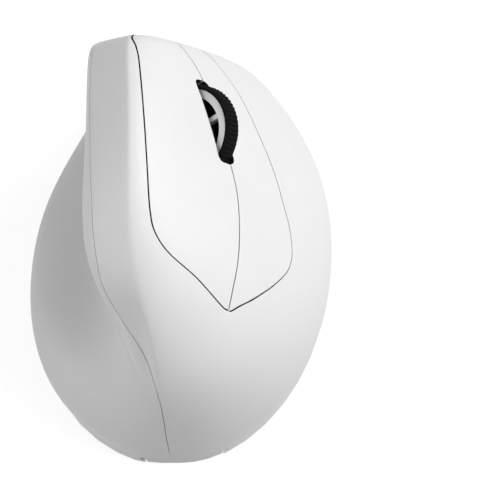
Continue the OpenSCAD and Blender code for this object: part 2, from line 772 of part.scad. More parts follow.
module button_board() {
  color(board_green)
    in_face()
      difference() {
        translate([0, 0, board_low])
          linear_extrude(board_thickness)
            polygon([
              [board_left, board_rear], [board_cut_left, board_rear], [board_cut_left, board_cut_front],
              [board_cut_right, board_cut_front], [board_cut_right, board_rear], [board_right, board_rear],
              [board_right, board_front], [board_left + corner_cut, board_front],
              [board_left, board_front - corner_cut]]);
        for (p = board_posts)
          translate([p.x, p.y, board_low - 1])
            cylinder(h = board_thickness + 2, r = screw_radius + slide_play);
      }
}

// Square push switch with a round plunger, standing on z = 0
module push_switch(height) {
  plunger = 0.6;
  translate([-switch_size / 2, -switch_size / 2, 0]) cube([switch_size, switch_size, height - plunger]);
  cylinder(h = height, r = switch_size / 3.5);
}

module main_switch(x) {
  top = arm_top(switch_y) - arm_thickness - arm_drop(switch_y) - switch_play;
  color(chip_black)
    in_face()
      translate([x, switch_y, board_top])
        push_switch(top - board_top);
}

module left_switch() {
  main_switch(left_arm_x);
}

module right_switch() {
  main_switch(right_arm_x);
}

module middle_switch() {
  y = mix(bar_rear, bar_front, 0.5);
  top = bar_low - (bar_front - pivot_yz[0]) * tan(click_angle) - switch_play;
  color(chip_black)
    in_face()
      translate([wheel_shift, y, board_top])
        push_switch(top - board_top);
}

module side_switches() {
  color(chip_black)
    in_face()
      for (s = [back_s, forward_s])
        let (q = to_face(skin_point(s, thumb_middle_t)))
        translate([q.x, q.y, board_low])
          mirror([0, 0, 1]) push_switch(side_switch_height);
}

// Screw with its head on top, the head's underside at z = 0
module screw(length) {
  cylinder(h = screw_head, r = screw_head_radius);
  translate([0, 0, -length]) cylinder(h = length + 0.1, r = screw_radius);
}

// Inner frame: tilted plate with lugs, standing on the battery bay with three legs
frame_top = -17.7;
frame_thickness = 1.8;
frame_rear = -37;
frame_left = -16;
frame_right = 13.5;
rail_left = -11;
rail_end = -4;
leg_radius = 3;
leg_bore = 4;
function leg_spot(p) = from_face([p.x, p.y, frame_top - frame_thickness]);

module lug_at(yz, x, radius) {
  carried(x, x + lug) {
    translate(yz) circle(radius);
    translate([yz[0] - radius, frame_top - 0.5])
      square([2 * radius, yz[1] - frame_top + 0.5]);
  }
}

module frame_leg(p) {
  spot = leg_spot(p);
  intersection() {
    translate([spot.x, spot.y, bay_top]) cylinder(h = body_height, r = leg_radius);
    in_face()
      translate([-body_length, -body_length, frame_top - 2 * body_length])
        cube(2 * body_length);
  }
}

module inner_frame() {
  window_left = carrier_left - 1.7;
  window_right = carrier_right + 1.7;
  window_rear_y = pivot_yz[0] + carrier_barrel + 0.1;
  color(grey_inside)
    difference() {
      union() {
        in_face() {
          translate([0, 0, frame_top - frame_thickness])
            linear_extrude(frame_thickness)
              polygon([
                [frame_left, frame_rear], [frame_left, -22], [rail_left, -22], [rail_left, rail_end],
                [window_left, rail_end], [window_left, window_rear_y], [window_right, window_rear_y],
                [window_right, 9], [frame_right, 9], [frame_right, 6], [toe_right, 6], [toe_right, -4],
                [frame_right, -4], [frame_right, frame_rear]]);
          for (x = lug_starts) lug_at(hinge_yz, x, barrel_radius + 0.2);
          for (x = [carrier_left - lug_play - lug, carrier_right + lug_play])
            lug_at(pivot_yz, x, carrier_barrel + 0.2);
          for (p = board_posts)
            translate([p.x, p.y, frame_top - 0.5])
              cylinder(h = board_low - frame_top + 0.5, r = board_post_radius);
        }
        for (p = leg_places) frame_leg(p);
      }
      in_face() {
        rod_across(hinge_yz, lug_starts[0] - 1, lug_starts[3] + lug + 1, hinge_pin_radius);
        rod_across(pivot_yz, carrier_left - 5, carrier_right + 5, carrier_pin_radius);
        for (p = board_posts)
          translate([p.x, p.y, board_low - board_screw_length + board_thickness])
            cylinder(h = board_screw_length + 1, r = screw_radius);
      }
      for (p = leg_places)
        translate([leg_spot(p).x, leg_spot(p).y, bay_top - 1]) cylinder(h = leg_bore + 1, r = screw_radius);
    }
}

// Base with the battery bay, the receiver bay, standoffs and holes
base_low = pad_height;
battery_x = 1;
battery_front = 16;
battery_play = 0.6;
battery_z = rim_height + 0.4 + battery_radius;
battery_rear = battery_front - battery_length;
bay_wall = 1.6;
bay_half = battery_radius + battery_play;
bay_front = battery_front + 0.5;
bay_rear = battery_rear - spring_length;
bay_ceiling = battery_z + battery_radius + battery_play;
bay_roof = 2.4;
bay_top = bay_ceiling + bay_roof;

// Legs of the inner frame; the first stands where the tilted plate still clears the bay's roof
leg_least = 2.3;
plate_middle = face_origin.z + (frame_top - frame_thickness) * face_out.z;
leg_limit = (plate_middle - bay_top - leg_least) / -face_across.z;
leg_places = [[min(19.2, leg_limit), 0.9], [4.5, -31], [-12.6, -27.5]];
toe_right = leg_places[0].x + 2;

// Door, tongue and receiver bay
lip_play = 0.25;
lip_width = 1;
lip_height = 1.6;
// The lip ends short of the nose, where the shells lean back
lip_front = 42;
tongue_low = 1.7;
tongue_top = 2.4;
door_front = bay_front + 1;
receiver_x = 14.5;
receiver_y = -8;
receiver_wall = 1.2;
main_board_low = rim_height + 4.6;
main_board_top = main_board_low + board_thickness;
main_board_x = [-13, 15];
main_board_y = [20.5, 41.5];
standoff_radius = 2.2;
standoff_inset = 2.6;
standoffs = [for (x = [main_board_x[0] + standoff_inset, main_board_x[1] - standoff_inset],
  y = [main_board_y[0] + standoff_inset, main_board_y[1] - standoff_inset]) [x, y]];
sensor_spot = [1, 28];
sensor_hole = 3.6;
power_spot = [-8, 34];
knob_size = [3.2, 2.6];
power_slot = [knob_size.x + power_travel + 2 * slide_play, knob_size.y + 2 * slide_play];
counterbore = 1.5;

outline_rows = concat([0], spread(first_s, last_s, 30), [s_end]);
function foot_point(s, t, inset) = let (k = skin_place(s, t), p = k[0] - k[1] * inset) [p.x, p.y];
function outline(inset) = concat(
  [for (s = outline_rows) foot_point(s, 0, inset)],
  [for (s = reversed(outline_rows)) if (s > 0 && s < s_end) foot_point(s, t_end, inset)]);

module box(low, high) {
  translate(low) cube(high - low);
}

module base_lip() {
  difference() {
    translate([0, 0, rim_height - 0.5])
      linear_extrude(lip_height + 0.5)
        difference() {
          polygon(outline(shell_wall + lip_play));
          polygon(outline(shell_wall + lip_play + lip_width));
        }
    for (t = [0, t_end], p = boss_spots(t))
      translate([p.x, p.y, rim_height])
        cylinder(h = lip_height + 1, r = boss_radius + lip_play);
    translate([-body_width, lip_front * body_length / form_size.y, rim_height])
      cube([2 * body_width, body_length, lip_height + 1]);
  }
}

module door_channel() {
  half = door_width / 2 + slide_play;
  box(
    [battery_x - half, -body_length, base_low - 1],
    [battery_x + half, door_front + slide_play, tongue_low]);
  box(
    [battery_x - half - tongue_width, -body_length, tongue_low - slide_play],
    [battery_x + half + tongue_width, door_front + slide_play, tongue_top + slide_play]);
}

module base_plate() {
  color(white_shell)
    difference() {
      union() {
        translate([0, 0, base_low])
          linear_extrude(rim_height - base_low)
            polygon(outline(0));
        base_lip();
        box(
          [battery_x - bay_half - bay_wall, bay_rear - bay_wall, rim_height - 0.5],
          [battery_x + bay_half + bay_wall, bay_front + bay_wall, bay_top]);
        box(
          [receiver_x - receiver_wall, receiver_y - receiver_wall, rim_height - 0.5],
          [receiver_x + receiver_width + receiver_wall, receiver_y + receiver_length + receiver_wall,
            base_low + receiver_depth + receiver_wall]);
        for (p = standoffs)
          translate([p.x, p.y, rim_height - 0.5])
            cylinder(h = main_board_low - rim_height + 0.5, r = standoff_radius);
      }
      box(
        [battery_x - bay_half, bay_rear, base_low - 1],
        [battery_x + bay_half, bay_front, bay_ceiling]);
      door_channel();
      box(
        [receiver_x, receiver_y, base_low - 1],
        [receiver_x + receiver_width, receiver_y + receiver_length, base_low + receiver_depth]);
      for (t = [0, t_end], p = boss_spots(t)) {
        translate([p.x, p.y, base_low - 1]) cylinder(h = rim_height + 2, r = screw_radius + slide_play);
        translate([p.x, p.y, base_low - 1])
          cylinder(h = counterbore + 1, r = screw_head_radius + slide_play);
      }
      for (p = standoffs)
        translate([p.x, p.y, main_board_low - board_screw_length + board_thickness])
          cylinder(h = board_screw_length + 1, r = screw_radius);
      for (p = leg_places) {
        spot = leg_spot(p);
        translate([spot.x, spot.y, bay_ceiling - 1])
          cylinder(h = bay_roof + 2, r = screw_radius + slide_play);
        translate([spot.x, spot.y, bay_ceiling - 1])
          cylinder(h = screw_head + 1, r = screw_head_radius + slide_play);
      }
      translate([sensor_spot.x, sensor_spot.y, base_low - 1]) cylinder(h = rim_height + 2, r = sensor_hole);
      translate([power_spot.x - power_slot.x / 2, power_spot.y - power_slot.y / 2, base_low - 1])
        cube([power_slot.x, power_slot.y, rim_height + 2]);
    }
}

module battery_door() {
  grip = [8, 1];
  grip_depth = 0.5;
  half = door_width / 2;
  color(white_shell)
    difference() {
      intersection() {
        union() {
          box(
            [battery_x - half, -body_length, base_low],
            [battery_x + half, door_front, tongue_top]);
          box(
            [battery_x - half - tongue_width, -body_length, tongue_low],
            [battery_x + half + tongue_width, door_front, tongue_top]);
        }
        linear_extrude(rim_height) polygon(outline(slide_play));
      }
      for (k = [0:2])
        translate([battery_x - grip.x / 2, bay_rear + 3 * grip.y * k, base_low - 1])
          cube([grip.x, grip.y, grip_depth + 1]);
    }
}

module glide_feet() {
  half = 4.5;
  radius = 2.6;
  color(grey_inside)
    for (p = [[-10, 41.5], [12, 41.5], [-17.5, -28], [18.5, -28]])
      translate([p.x, p.y, 0])
        linear_extrude(pad_height) {
          for (x = [-half, half]) translate([x, 0]) circle(radius);
          square([2 * half, 2 * radius], center = true);
        }
}

module case_screws() {
  length = rim_height - base_low - counterbore + boss_depth - 0.5;
  color(steel)
    for (t = [0, t_end], p = boss_spots(t))
      translate([p.x, p.y, base_low + counterbore])
        mirror([0, 0, 1]) screw(length);
}

module frame_screws() {
  length = bay_roof - screw_head + leg_bore - 0.5;
  color(steel)
    for (p = leg_places)
      translate([leg_spot(p).x, leg_spot(p).y, bay_ceiling + screw_head])
        mirror([0, 0, 1]) screw(length);
}

module board_screws() {
  color(steel) {
    in_face()
      for (p = board_posts)
        translate([p.x, p.y, board_top]) screw(board_screw_length);
    for (p = standoffs)
      translate([p.x, p.y, main_board_top]) screw(board_screw_length);
  }
}

module main_board() {
  color(board_green)
    difference() {
      box(
        [main_board_x[0], main_board_y[0], main_board_low],
        [main_board_x[1], main_board_y[1], main_board_top]);
      for (p = standoffs)
        translate([p.x, p.y, main_board_low - 1])
          cylinder(h = board_thickness + 2, r = screw_radius + slide_play);
    }
}

module controller_chip() {
  color(chip_black)
    translate([-1.5, 34.1, main_board_top]) cube([7, 7, 1]);
}

module optical_sensor() {
  size = [10, 11, 2.6];
  color(chip_black)
    translate([sensor_spot.x - size.x / 2, sensor_spot.y - size.y / 2, main_board_top]) cube(size);
}

module sensor_lens() {
  flange = [9.6, 12.6, 1.6];
  block = [6, 8];
  color(clear_plastic) {
    translate([sensor_spot.x - flange.x / 2, sensor_spot.y - flange.y / 2, rim_height]) cube(flange);
    translate([sensor_spot.x - block.x / 2, sensor_spot.y - block.y / 2, rim_height])
      cube([block.x, block.y, main_board_low - rim_height]);
    translate([sensor_spot.x, sensor_spot.y, base_low + 0.6])
      cylinder(h = rim_height - base_low, r = sensor_hole - slide_play);
  }
}

// Flat cable from the button board down to the main board
ribbon_width = 7;
ribbon_thickness = 0.4;
connector_height = 2;
upper_connector = [8.8, 11.2];
lower_connector = [10.6, 29];

module ribbon_slice() {
  translate([-ribbon_width / 2, -ribbon_thickness / 2, 0]) cube([ribbon_width, ribbon_thickness, 0.2]);
}

module ribbon_cable() {
  bend = 4;
  module upper(depth) {
    in_face() translate([upper_connector.x, upper_connector.y, board_low - depth]) ribbon_slice();
  }
  module lower(height) {
    translate([lower_connector.x, lower_connector.y, main_board_top + height]) ribbon_slice();
  }
  color(copper_top) {
    hull() {
      upper(connector_height + 0.2);
      upper(connector_height + bend);
    }
    hull() {
      upper(connector_height + bend);
      lower(connector_height + bend);
    }
    hull() {
      lower(connector_height + bend);
      lower(connector_height);
    }
  }
}

module ribbon_connectors() {
  size = [ribbon_width + 1, 2.4, connector_height];
  color(white_shell) {
    in_face()
      translate([upper_connector.x - size.x / 2, upper_connector.y - size.y / 2, board_low - size.z])
        cube(size);
    translate([lower_connector.x - size.x / 2, lower_connector.y - size.y / 2, main_board_top])
      cube(size);
  }
}

// Round cell along the body, its nub to the front
nub_length = 1;
nub_radius = 2.75;

module battery() {
  color(copper_top)
    translate([battery_x, battery_rear, battery_z])
      rotate([-90, 0, 0]) {
        cylinder(h = battery_length - nub_length, r = battery_radius);
        cylinder(h = battery_length, r = nub_radius);
      }
}

module battery_contact() {
  size = [10, bay_front - battery_front, 9];
  color(steel)
    translate([battery_x - size.x / 2, battery_front, battery_z - size.z / 2]) cube(size);
}

// Cone-shaped coil between the rear wall of the bay and the cell
module battery_spring() {
  turns = 4;
  steps = 14;
  sides = 6;
  wire = 0.4;
  wide = 5;
  narrow = 3;
  count = turns * steps;
  function ring(k) =
    let (
      f = k / count,
      a = 360 * k / steps,
      r = mix(wide, narrow, f),
      out = [cos(a), 0, sin(a)],
      middle = [battery_x, bay_rear + wire + f * (spring_length - 2 * wire), battery_z] + r * out)
    [for (m = [0:sides - 1])
      middle + wire * (cos(360 * m / sides) * out + sin(360 * m / sides) * [0, 1, 0])];
  color(steel)
    polyhedron(
      points = flattened([for (k = [0:count]) ring(k)]),
      faces = concat(
        [[for (m = [0:sides - 1]) m]],
        [for (k = [0:count - 1], m = [0:sides - 1])
          let (n = (m + 1) % sides, a = k * sides, b = a + sides)
          each [[a + m, b + m, b + n], [a + m, b + n, a + n]]],
        [[for (m = [sides - 1:-1:0]) count * sides + m]]));
}

module power_switch() {
  size = [power_slot.x + 1.6, 3.8, main_board_low - rim_height - 0.6];
  color(chip_black)
    translate([power_spot.x - size.x / 2, power_spot.y - size.y / 2, main_board_low - size.z]) cube(size);
}

module power_knob() {
  low = base_low + 0.5;
  top = rim_height + 0.6 - slide_play;
  start = power_spot.x - power_slot.x / 2 + slide_play;
  color(grey_inside)
    translate([start, power_spot.y - knob_size.y / 2, low])
      cube([knob_size.x, knob_size.y, top - low]);
}

base_plate();
battery_door();
glide_feet();
case_screws();
thumb_shell();
palm_shell();
left_button();
right_button();
left_arm();
right_arm();
hinge_pin();
back_button();
forward_button();
wheel_hub();
wheel_tyre();
wheel_axle();
wheel_carrier();
carrier_pin();
scroll_encoder();
inner_frame();
frame_screws();
button_board();
left_switch();
right_switch();
middle_switch();
side_switches();
board_screws();
main_board();
controller_chip();
optical_sensor();
sensor_lens();
ribbon_cable();
ribbon_connectors();
battery();
battery_spring();
battery_contact();
power_switch();
power_knob();
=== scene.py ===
# %% [markdown]
# # Dressing a vertical mouse
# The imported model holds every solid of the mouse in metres, in one fixed frame. This lesson loads
# it, makes the pieces that show again on finer meshes with soft lips, and gives each piece its
# finish. Nothing is moved, so that each new piece lies exactly on the solid it stands for.

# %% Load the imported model
import json
import math

import bmesh
import bpy
import numpy as np
from mathutils import Matrix, Vector


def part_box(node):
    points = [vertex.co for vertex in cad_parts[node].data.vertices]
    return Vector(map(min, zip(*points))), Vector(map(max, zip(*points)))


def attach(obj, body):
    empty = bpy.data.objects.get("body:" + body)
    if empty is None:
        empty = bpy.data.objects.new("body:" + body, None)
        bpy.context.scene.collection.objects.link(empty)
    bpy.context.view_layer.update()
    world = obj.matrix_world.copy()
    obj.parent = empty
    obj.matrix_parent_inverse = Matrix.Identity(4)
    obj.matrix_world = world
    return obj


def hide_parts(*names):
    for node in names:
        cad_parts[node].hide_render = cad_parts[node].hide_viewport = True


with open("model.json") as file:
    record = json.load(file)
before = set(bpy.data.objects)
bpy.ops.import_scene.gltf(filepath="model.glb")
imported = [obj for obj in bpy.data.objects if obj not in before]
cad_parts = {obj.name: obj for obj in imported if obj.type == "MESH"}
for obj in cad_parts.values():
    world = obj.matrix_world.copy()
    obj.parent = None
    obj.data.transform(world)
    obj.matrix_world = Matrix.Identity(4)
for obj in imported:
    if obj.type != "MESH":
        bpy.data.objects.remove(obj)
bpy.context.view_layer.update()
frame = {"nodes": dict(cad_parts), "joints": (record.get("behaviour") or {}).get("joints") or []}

nodes = frame["nodes"]

# %% [markdown]
# ## The camera
# The picture was taken from behind and well above, with a long lens. A camera that stands 60 cm
# away and looks down at 62 degrees gives the same outline. The lens follows from how many pixels
# one metre covers at the point the camera aims at.

# %% Camera
photo_side = 500
pixels_per_metre = 4280
camera_rise = math.radians(62)
camera_distance = 0.6
camera_aim = Vector((0.0157, 0.0036, 0.0008))

camera_data = bpy.data.cameras.new("photo_camera")
camera_data.sensor_width = 36
camera_data.lens = camera_data.sensor_width * camera_distance * pixels_per_metre / photo_side
camera = bpy.data.objects.new("photo_camera", camera_data)
bpy.context.scene.collection.objects.link(camera)
camera_back = Vector((0, -math.cos(camera_rise), math.sin(camera_rise)))
camera.location = camera_aim + camera_distance * camera_back
camera.rotation_euler = (math.pi / 2 - camera_rise, 0, 0)
bpy.context.scene.camera = camera
print("lens:", round(camera_data.lens, 1), "mm")

# %% [markdown]
# ## Light and floor
# White plastic shows its form only through soft light with a direction. An even sky would leave
# it flat, so four wide suns stand in for the soft boxes of a studio. The strongest faces the palm
# from the right, a weaker one is low on the left, one hangs above, and one lights the heel. The facet
# and the thumb flare get the least and fall into grey. The camera sees the sky as plain white.
# The floor glows for the camera alone, so that it looks white but still takes the shadow.


# %% What the camera sees
def light_seen(tree):
    """1 where the camera looks, straight or through gloss and glass, and 0 for other light."""
    path = tree.nodes.new("ShaderNodeLightPath")
    first = tree.nodes.new("ShaderNodeMath")
    first.operation = "MAXIMUM"
    tree.links.new(path.outputs["Is Camera Ray"], first.inputs[0])
    tree.links.new(path.outputs["Is Glossy Ray"], first.inputs[1])
    second = tree.nodes.new("ShaderNodeMath")
    second.operation = "MAXIMUM"
    tree.links.new(first.outputs[0], second.inputs[0])
    tree.links.new(path.outputs["Is Transmission Ray"], second.inputs[1])
    return second.outputs[0]


bpy.context.scene.view_settings.view_transform = "Standard"
print("view:", bpy.context.scene.view_settings.view_transform)

# %% Sky
sky_strength = 0.04

world = bpy.data.worlds.new("studio")
bpy.context.scene.world = world
world.use_nodes = True
sky = world.node_tree
sky.nodes.clear()
sky_even = sky.nodes.new("ShaderNodeBackground")
sky_even.inputs["Color"].default_value = (1, 1, 1, 1)
sky_even.inputs["Strength"].default_value = sky_strength
sky_white = sky.nodes.new("ShaderNodeBackground")
sky_white.inputs["Color"].default_value = (1, 1, 1, 1)
sky_white.inputs["Strength"].default_value = 1
sky_mix = sky.nodes.new("ShaderNodeMixShader")
sky_out = sky.nodes.new("ShaderNodeOutputWorld")
sky.links.new(light_seen(sky), sky_mix.inputs[0])
sky.links.new(sky_even.outputs[0], sky_mix.inputs[1])
sky.links.new(sky_white.outputs[0], sky_mix.inputs[2])
sky.links.new(sky_mix.outputs[0], sky_out.inputs["Surface"])
print("sky:", sky_strength)

# %% Suns
sun_spread = math.radians(50)
suns = {
    "right_sun": (2.06, Vector((0.7, 0.1, 0.65))),
    "left_sun": (0.8, Vector((-0.95, 0, 0.2))),
    "top_sun": (0.75, Vector((0.4, 0, 0.9))),
    "heel_sun": (0.7, Vector((-0.6, -0.75, 0.25))),
}
for name, (strength, comes_from) in suns.items():
    sun_data = bpy.data.lights.new(name, "SUN")
    sun_data.energy = strength
    sun_data.angle = sun_spread
    sun = bpy.data.objects.new(name, sun_data)
    sun.rotation_euler = comes_from.to_track_quat("Z", "Y").to_euler()
    bpy.context.scene.collection.objects.link(sun)
print("suns:", list(suns))

# %% Floor
floor_half = 2
floor_colour = (0.28, 0.28, 0.28, 1)
floor_glow = 0.87
floor_mesh = bpy.data.meshes.new("floor")
floor_mesh.from_pydata(
    [(-floor_half, -floor_half, 0), (floor_half, -floor_half, 0),
     (floor_half, floor_half, 0), (-floor_half, floor_half, 0)],
    [], [(0, 1, 2, 3)])
floor = bpy.data.objects.new("floor", floor_mesh)
bpy.context.scene.collection.objects.link(floor)
floor_finish = bpy.data.materials.new("pale_floor")
floor_finish.use_nodes = True
tree = floor_finish.node_tree
tree.nodes.clear()
floor_matte = tree.nodes.new("ShaderNodeBsdfDiffuse")
floor_matte.inputs["Color"].default_value = floor_colour
floor_light = tree.nodes.new("ShaderNodeEmission")
floor_light.inputs["Color"].default_value = (1, 1, 1, 1)
floor_strength = tree.nodes.new("ShaderNodeMath")
floor_strength.operation = "MULTIPLY"
floor_strength.inputs[1].default_value = floor_glow
floor_sum = tree.nodes.new("ShaderNodeAddShader")
floor_out = tree.nodes.new("ShaderNodeOutputMaterial")
tree.links.new(light_seen(tree), floor_strength.inputs[0])
tree.links.new(floor_strength.outputs[0], floor_light.inputs["Strength"])
tree.links.new(floor_matte.outputs[0], floor_sum.inputs[0])
tree.links.new(floor_light.outputs[0], floor_sum.inputs[1])
tree.links.new(floor_sum.outputs[0], floor_out.inputs["Surface"])
floor_mesh.materials.append(floor_finish)
print("floor:", 2 * floor_half, "m wide")

# %% [markdown]
# ## Finishes
# Moulded plastic is never one flat colour. Its skin has a fine spark-eroded grain, its gloss
# changes a little from place to place, and handling leaves soft clouds in it. One recipe makes
# all the plastics: a fine noise drives a small bump, and a broad noise drives tint and roughness.
# The sizes are real, because the noise reads the object's own coordinates in metres.


# %% Tools for the recipes
noise_low = 0.3
noise_high = 0.7


def ramp_between(tree, source, low, high):
    """Turns a noise value into a number between low and high."""
    node = tree.nodes.new("ShaderNodeMapRange")
    node.inputs["From Min"].default_value = noise_low
    node.inputs["From Max"].default_value = noise_high
    node.inputs["To Min"].default_value = low
    node.inputs["To Max"].default_value = high
    tree.links.new(source, node.inputs["Value"])
    return node.outputs["Result"]


def noise(tree, scale, detail):
    """Noise in the object's own metres; scale is in waves per metre."""
    place = tree.nodes.new("ShaderNodeTexCoord")
    node = tree.nodes.new("ShaderNodeTexNoise")
    node.inputs["Scale"].default_value = scale
    node.inputs["Detail"].default_value = detail
    tree.links.new(place.outputs["Object"], node.inputs["Vector"])
    return node.outputs["Fac"]


def tint(tree, source, dark, light):
    """Colour that moves between two close shades with a noise."""
    node = tree.nodes.new("ShaderNodeValToRGB")
    node.color_ramp.elements[0].position = noise_low
    node.color_ramp.elements[0].color = (*dark, 1)
    node.color_ramp.elements[1].position = noise_high
    node.color_ramp.elements[1].color = (*light, 1)
    tree.links.new(source, node.inputs["Fac"])
    return node.outputs["Color"]


def bump(tree, height, depth):
    """Small relief of the given depth in metres."""
    node = tree.nodes.new("ShaderNodeBump")
    node.inputs["Distance"].default_value = depth
    tree.links.new(height, node.inputs["Height"])
    return node.outputs["Normal"]


def new_finish(name):
    """An empty material with its main shader, ready for links."""
    finish = bpy.data.materials.new(name)
    finish.use_nodes = True
    return finish, finish.node_tree, finish.node_tree.nodes["Principled BSDF"]


def set_socket(finish, socket, value):
    """Sets one value of a finish that is the same all over the surface."""
    finish.node_tree.nodes["Principled BSDF"].inputs[socket].default_value = value


print("noise is read from", noise_low, "to", noise_high)

# %% Plastic recipe
cloud_waves = 90


def plastic(name, dark, light, rough, grain=3500, depth=0.00001):
    """Moulded plastic between two close shades. rough is its lowest and highest roughness."""
    finish, tree, shader = new_finish(name)
    clouds = noise(tree, cloud_waves, 4)
    tree.links.new(tint(tree, clouds, dark, light), shader.inputs["Base Color"])
    tree.links.new(ramp_between(tree, clouds, *rough), shader.inputs["Roughness"])
    tree.links.new(bump(tree, noise(tree, grain, 3), depth), shader.inputs["Normal"])
    return finish


shell_white = plastic("satin_white_shell", (0.925, 0.925, 0.925), (0.945, 0.945, 0.945), (0.42, 0.5))
hub_white = plastic("glossy_white_hub", (0.93, 0.93, 0.93), (0.96, 0.96, 0.96), (0.3, 0.4))
set_socket(hub_white, "Coat Weight", 1)
inside_grey = plastic("moulded_grey", (0.1, 0.1, 0.11), (0.13, 0.13, 0.14), (0.5, 0.65))
pad_dark = plastic("slick_pad", (0.03, 0.03, 0.032), (0.045, 0.045, 0.048), (0.28, 0.4))
chip_resin = plastic("chip_resin", (0.012, 0.012, 0.013), (0.02, 0.02, 0.021), (0.45, 0.6))
connector_cream = plastic("connector_cream", (0.72, 0.7, 0.64), (0.78, 0.76, 0.7), (0.35, 0.45))
# Black used as painted shade on the caps' flanks and the hub's inner faces, where little light falls.
painted_shade_finish = plastic("painted_shade_black", (0.008, 0.008, 0.008), (0.014, 0.014, 0.014), (0.6, 0.75))
set_socket(painted_shade_finish, "Specular IOR Level", 0.12)
print("finishes so far:", len(bpy.data.materials))

# %% [markdown]
# ## Rubber, metal and electronics
# Rubber is black and dull with a coarse, irregular skin. Turned steel has fine rings of brushing,
# which a stretched noise gives. A circuit board is a green lacquer over copper tracks, so its
# colour and its relief come from the same brick pattern. The cell's jacket is copper coloured at
# its plus end and dark over the rest, as such cells often are.


# %% Rubber and steel
def rubber(name):
    """Dull black rubber with a coarse skin."""
    finish, tree, shader = new_finish(name)
    shader.inputs["Specular IOR Level"].default_value = 0.06
    skin = noise(tree, 2200, 5)
    black = tint(tree, skin, (0.003, 0.003, 0.003), (0.009, 0.009, 0.009))
    tree.links.new(black, shader.inputs["Base Color"])
    tree.links.new(ramp_between(tree, skin, 0.62, 0.8), shader.inputs["Roughness"])
    tree.links.new(bump(tree, skin, 0.00003), shader.inputs["Normal"])
    return finish


def steel(name):
    """Bright drawn steel. The noise is stretched, so that it reads as fine brushing."""
    finish, tree, shader = new_finish(name)
    shader.inputs["Metallic"].default_value = 1
    place = tree.nodes.new("ShaderNodeTexCoord")
    stretch = tree.nodes.new("ShaderNodeMapping")
    stretch.inputs["Scale"].default_value = (200, 200, 6000)
    brushing = tree.nodes.new("ShaderNodeTexNoise")
    brushing.inputs["Scale"].default_value = 1
    brushing.inputs["Detail"].default_value = 4
    tree.links.new(place.outputs["Object"], stretch.inputs["Vector"])
    tree.links.new(stretch.outputs["Vector"], brushing.inputs["Vector"])
    streaks = brushing.outputs["Fac"]
    grey = tint(tree, streaks, (0.52, 0.53, 0.55), (0.66, 0.67, 0.69))
    tree.links.new(grey, shader.inputs["Base Color"])
    tree.links.new(ramp_between(tree, streaks, 0.22, 0.38), shader.inputs["Roughness"])
    tree.links.new(bump(tree, streaks, 0.000004), shader.inputs["Normal"])
    return finish


tyre_rubber = rubber("black_tread_rubber")
bright_steel = steel("bright_steel")
print("made:", tyre_rubber.name, bright_steel.name)


# %% Circuit board
def circuit_board(name):
    """Green lacquer with raised tracks."""
    finish, tree, shader = new_finish(name)
    place = tree.nodes.new("ShaderNodeTexCoord")
    tracks = tree.nodes.new("ShaderNodeTexBrick")
    tracks.inputs["Scale"].default_value = 420
    tracks.inputs["Mortar Size"].default_value = 0.06
    tracks.inputs["Color1"].default_value = (0.012, 0.09, 0.045, 1)
    tracks.inputs["Color2"].default_value = (0.016, 0.11, 0.055, 1)
    tracks.inputs["Mortar"].default_value = (0.03, 0.2, 0.1, 1)
    tree.links.new(place.outputs["Object"], tracks.inputs["Vector"])
    tree.links.new(tracks.outputs["Color"], shader.inputs["Base Color"])
    tree.links.new(ramp_between(tree, noise(tree, 300, 3), 0.25, 0.4), shader.inputs["Roughness"])
    tree.links.new(bump(tree, tracks.outputs["Fac"], 0.00003), shader.inputs["Normal"])
    return finish


green_board = circuit_board("green_board")
print("made:", green_board.name)


# %% Lens and ribbon film
def clear_lens(name):
    """Clear moulded plastic with a faint haze."""
    finish, tree, shader = new_finish(name)
    shader.inputs["Transmission Weight"].default_value = 0.9
    shader.inputs["IOR"].default_value = 1.49
    haze = noise(tree, 800, 2)
    tree.links.new(tint(tree, haze, (0.86, 0.9, 0.93), (0.93, 0.95, 0.97)), shader.inputs["Base Color"])
    tree.links.new(ramp_between(tree, haze, 0.03, 0.1), shader.inputs["Roughness"])
    return finish


def ribbon_film(name):
    """Amber film over rows of copper."""
    finish, tree, shader = new_finish(name)
    place = tree.nodes.new("ShaderNodeTexCoord")
    rows = tree.nodes.new("ShaderNodeTexWave")
    rows.inputs["Scale"].default_value = 320
    rows.inputs["Distortion"].default_value = 0.4
    tree.links.new(place.outputs["Object"], rows.inputs["Vector"])
    amber = tint(tree, rows.outputs["Fac"], (0.42, 0.17, 0.04), (0.58, 0.27, 0.08))
    tree.links.new(amber, shader.inputs["Base Color"])
    tree.links.new(ramp_between(tree, rows.outputs["Fac"], 0.2, 0.32), shader.inputs["Roughness"])
    tree.links.new(bump(tree, rows.outputs["Fac"], 0.00005), shader.inputs["Normal"])
    return finish


lens_clear = clear_lens("clear_lens")
amber_film = ribbon_film("amber_film")
print("made:", lens_clear.name, amber_film.name)

# %% Jacket of the cell
collar_length = 0.014
collar_blur = 0.0001


def cell_jacket(name, collar):
    """Printed jacket of a round cell: copper in front of the collar, dark behind it."""
    finish, tree, shader = new_finish(name)
    place = tree.nodes.new("ShaderNodeTexCoord")
    split = tree.nodes.new("ShaderNodeSeparateXYZ")
    tree.links.new(place.outputs["Object"], split.inputs["Vector"])
    edge = tree.nodes.new("ShaderNodeMapRange")
    edge.inputs["From Min"].default_value = collar - collar_blur
    edge.inputs["From Max"].default_value = collar + collar_blur
    tree.links.new(split.outputs["Y"], edge.inputs["Value"])
    two_tone = tint(tree, edge.outputs["Result"], (0.02, 0.02, 0.022), (0.55, 0.27, 0.1))
    tree.links.new(two_tone, shader.inputs["Base Color"])
    scuffs = noise(tree, 500, 5)
    tree.links.new(ramp_between(tree, scuffs, 0.25, 0.45), shader.inputs["Roughness"])
    tree.links.new(bump(tree, scuffs, 0.00001), shader.inputs["Normal"])
    return finish


cell_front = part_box("battery")[1].y
jacket = cell_jacket("cell_jacket", cell_front - collar_length)
print("finishes:", len(bpy.data.materials))

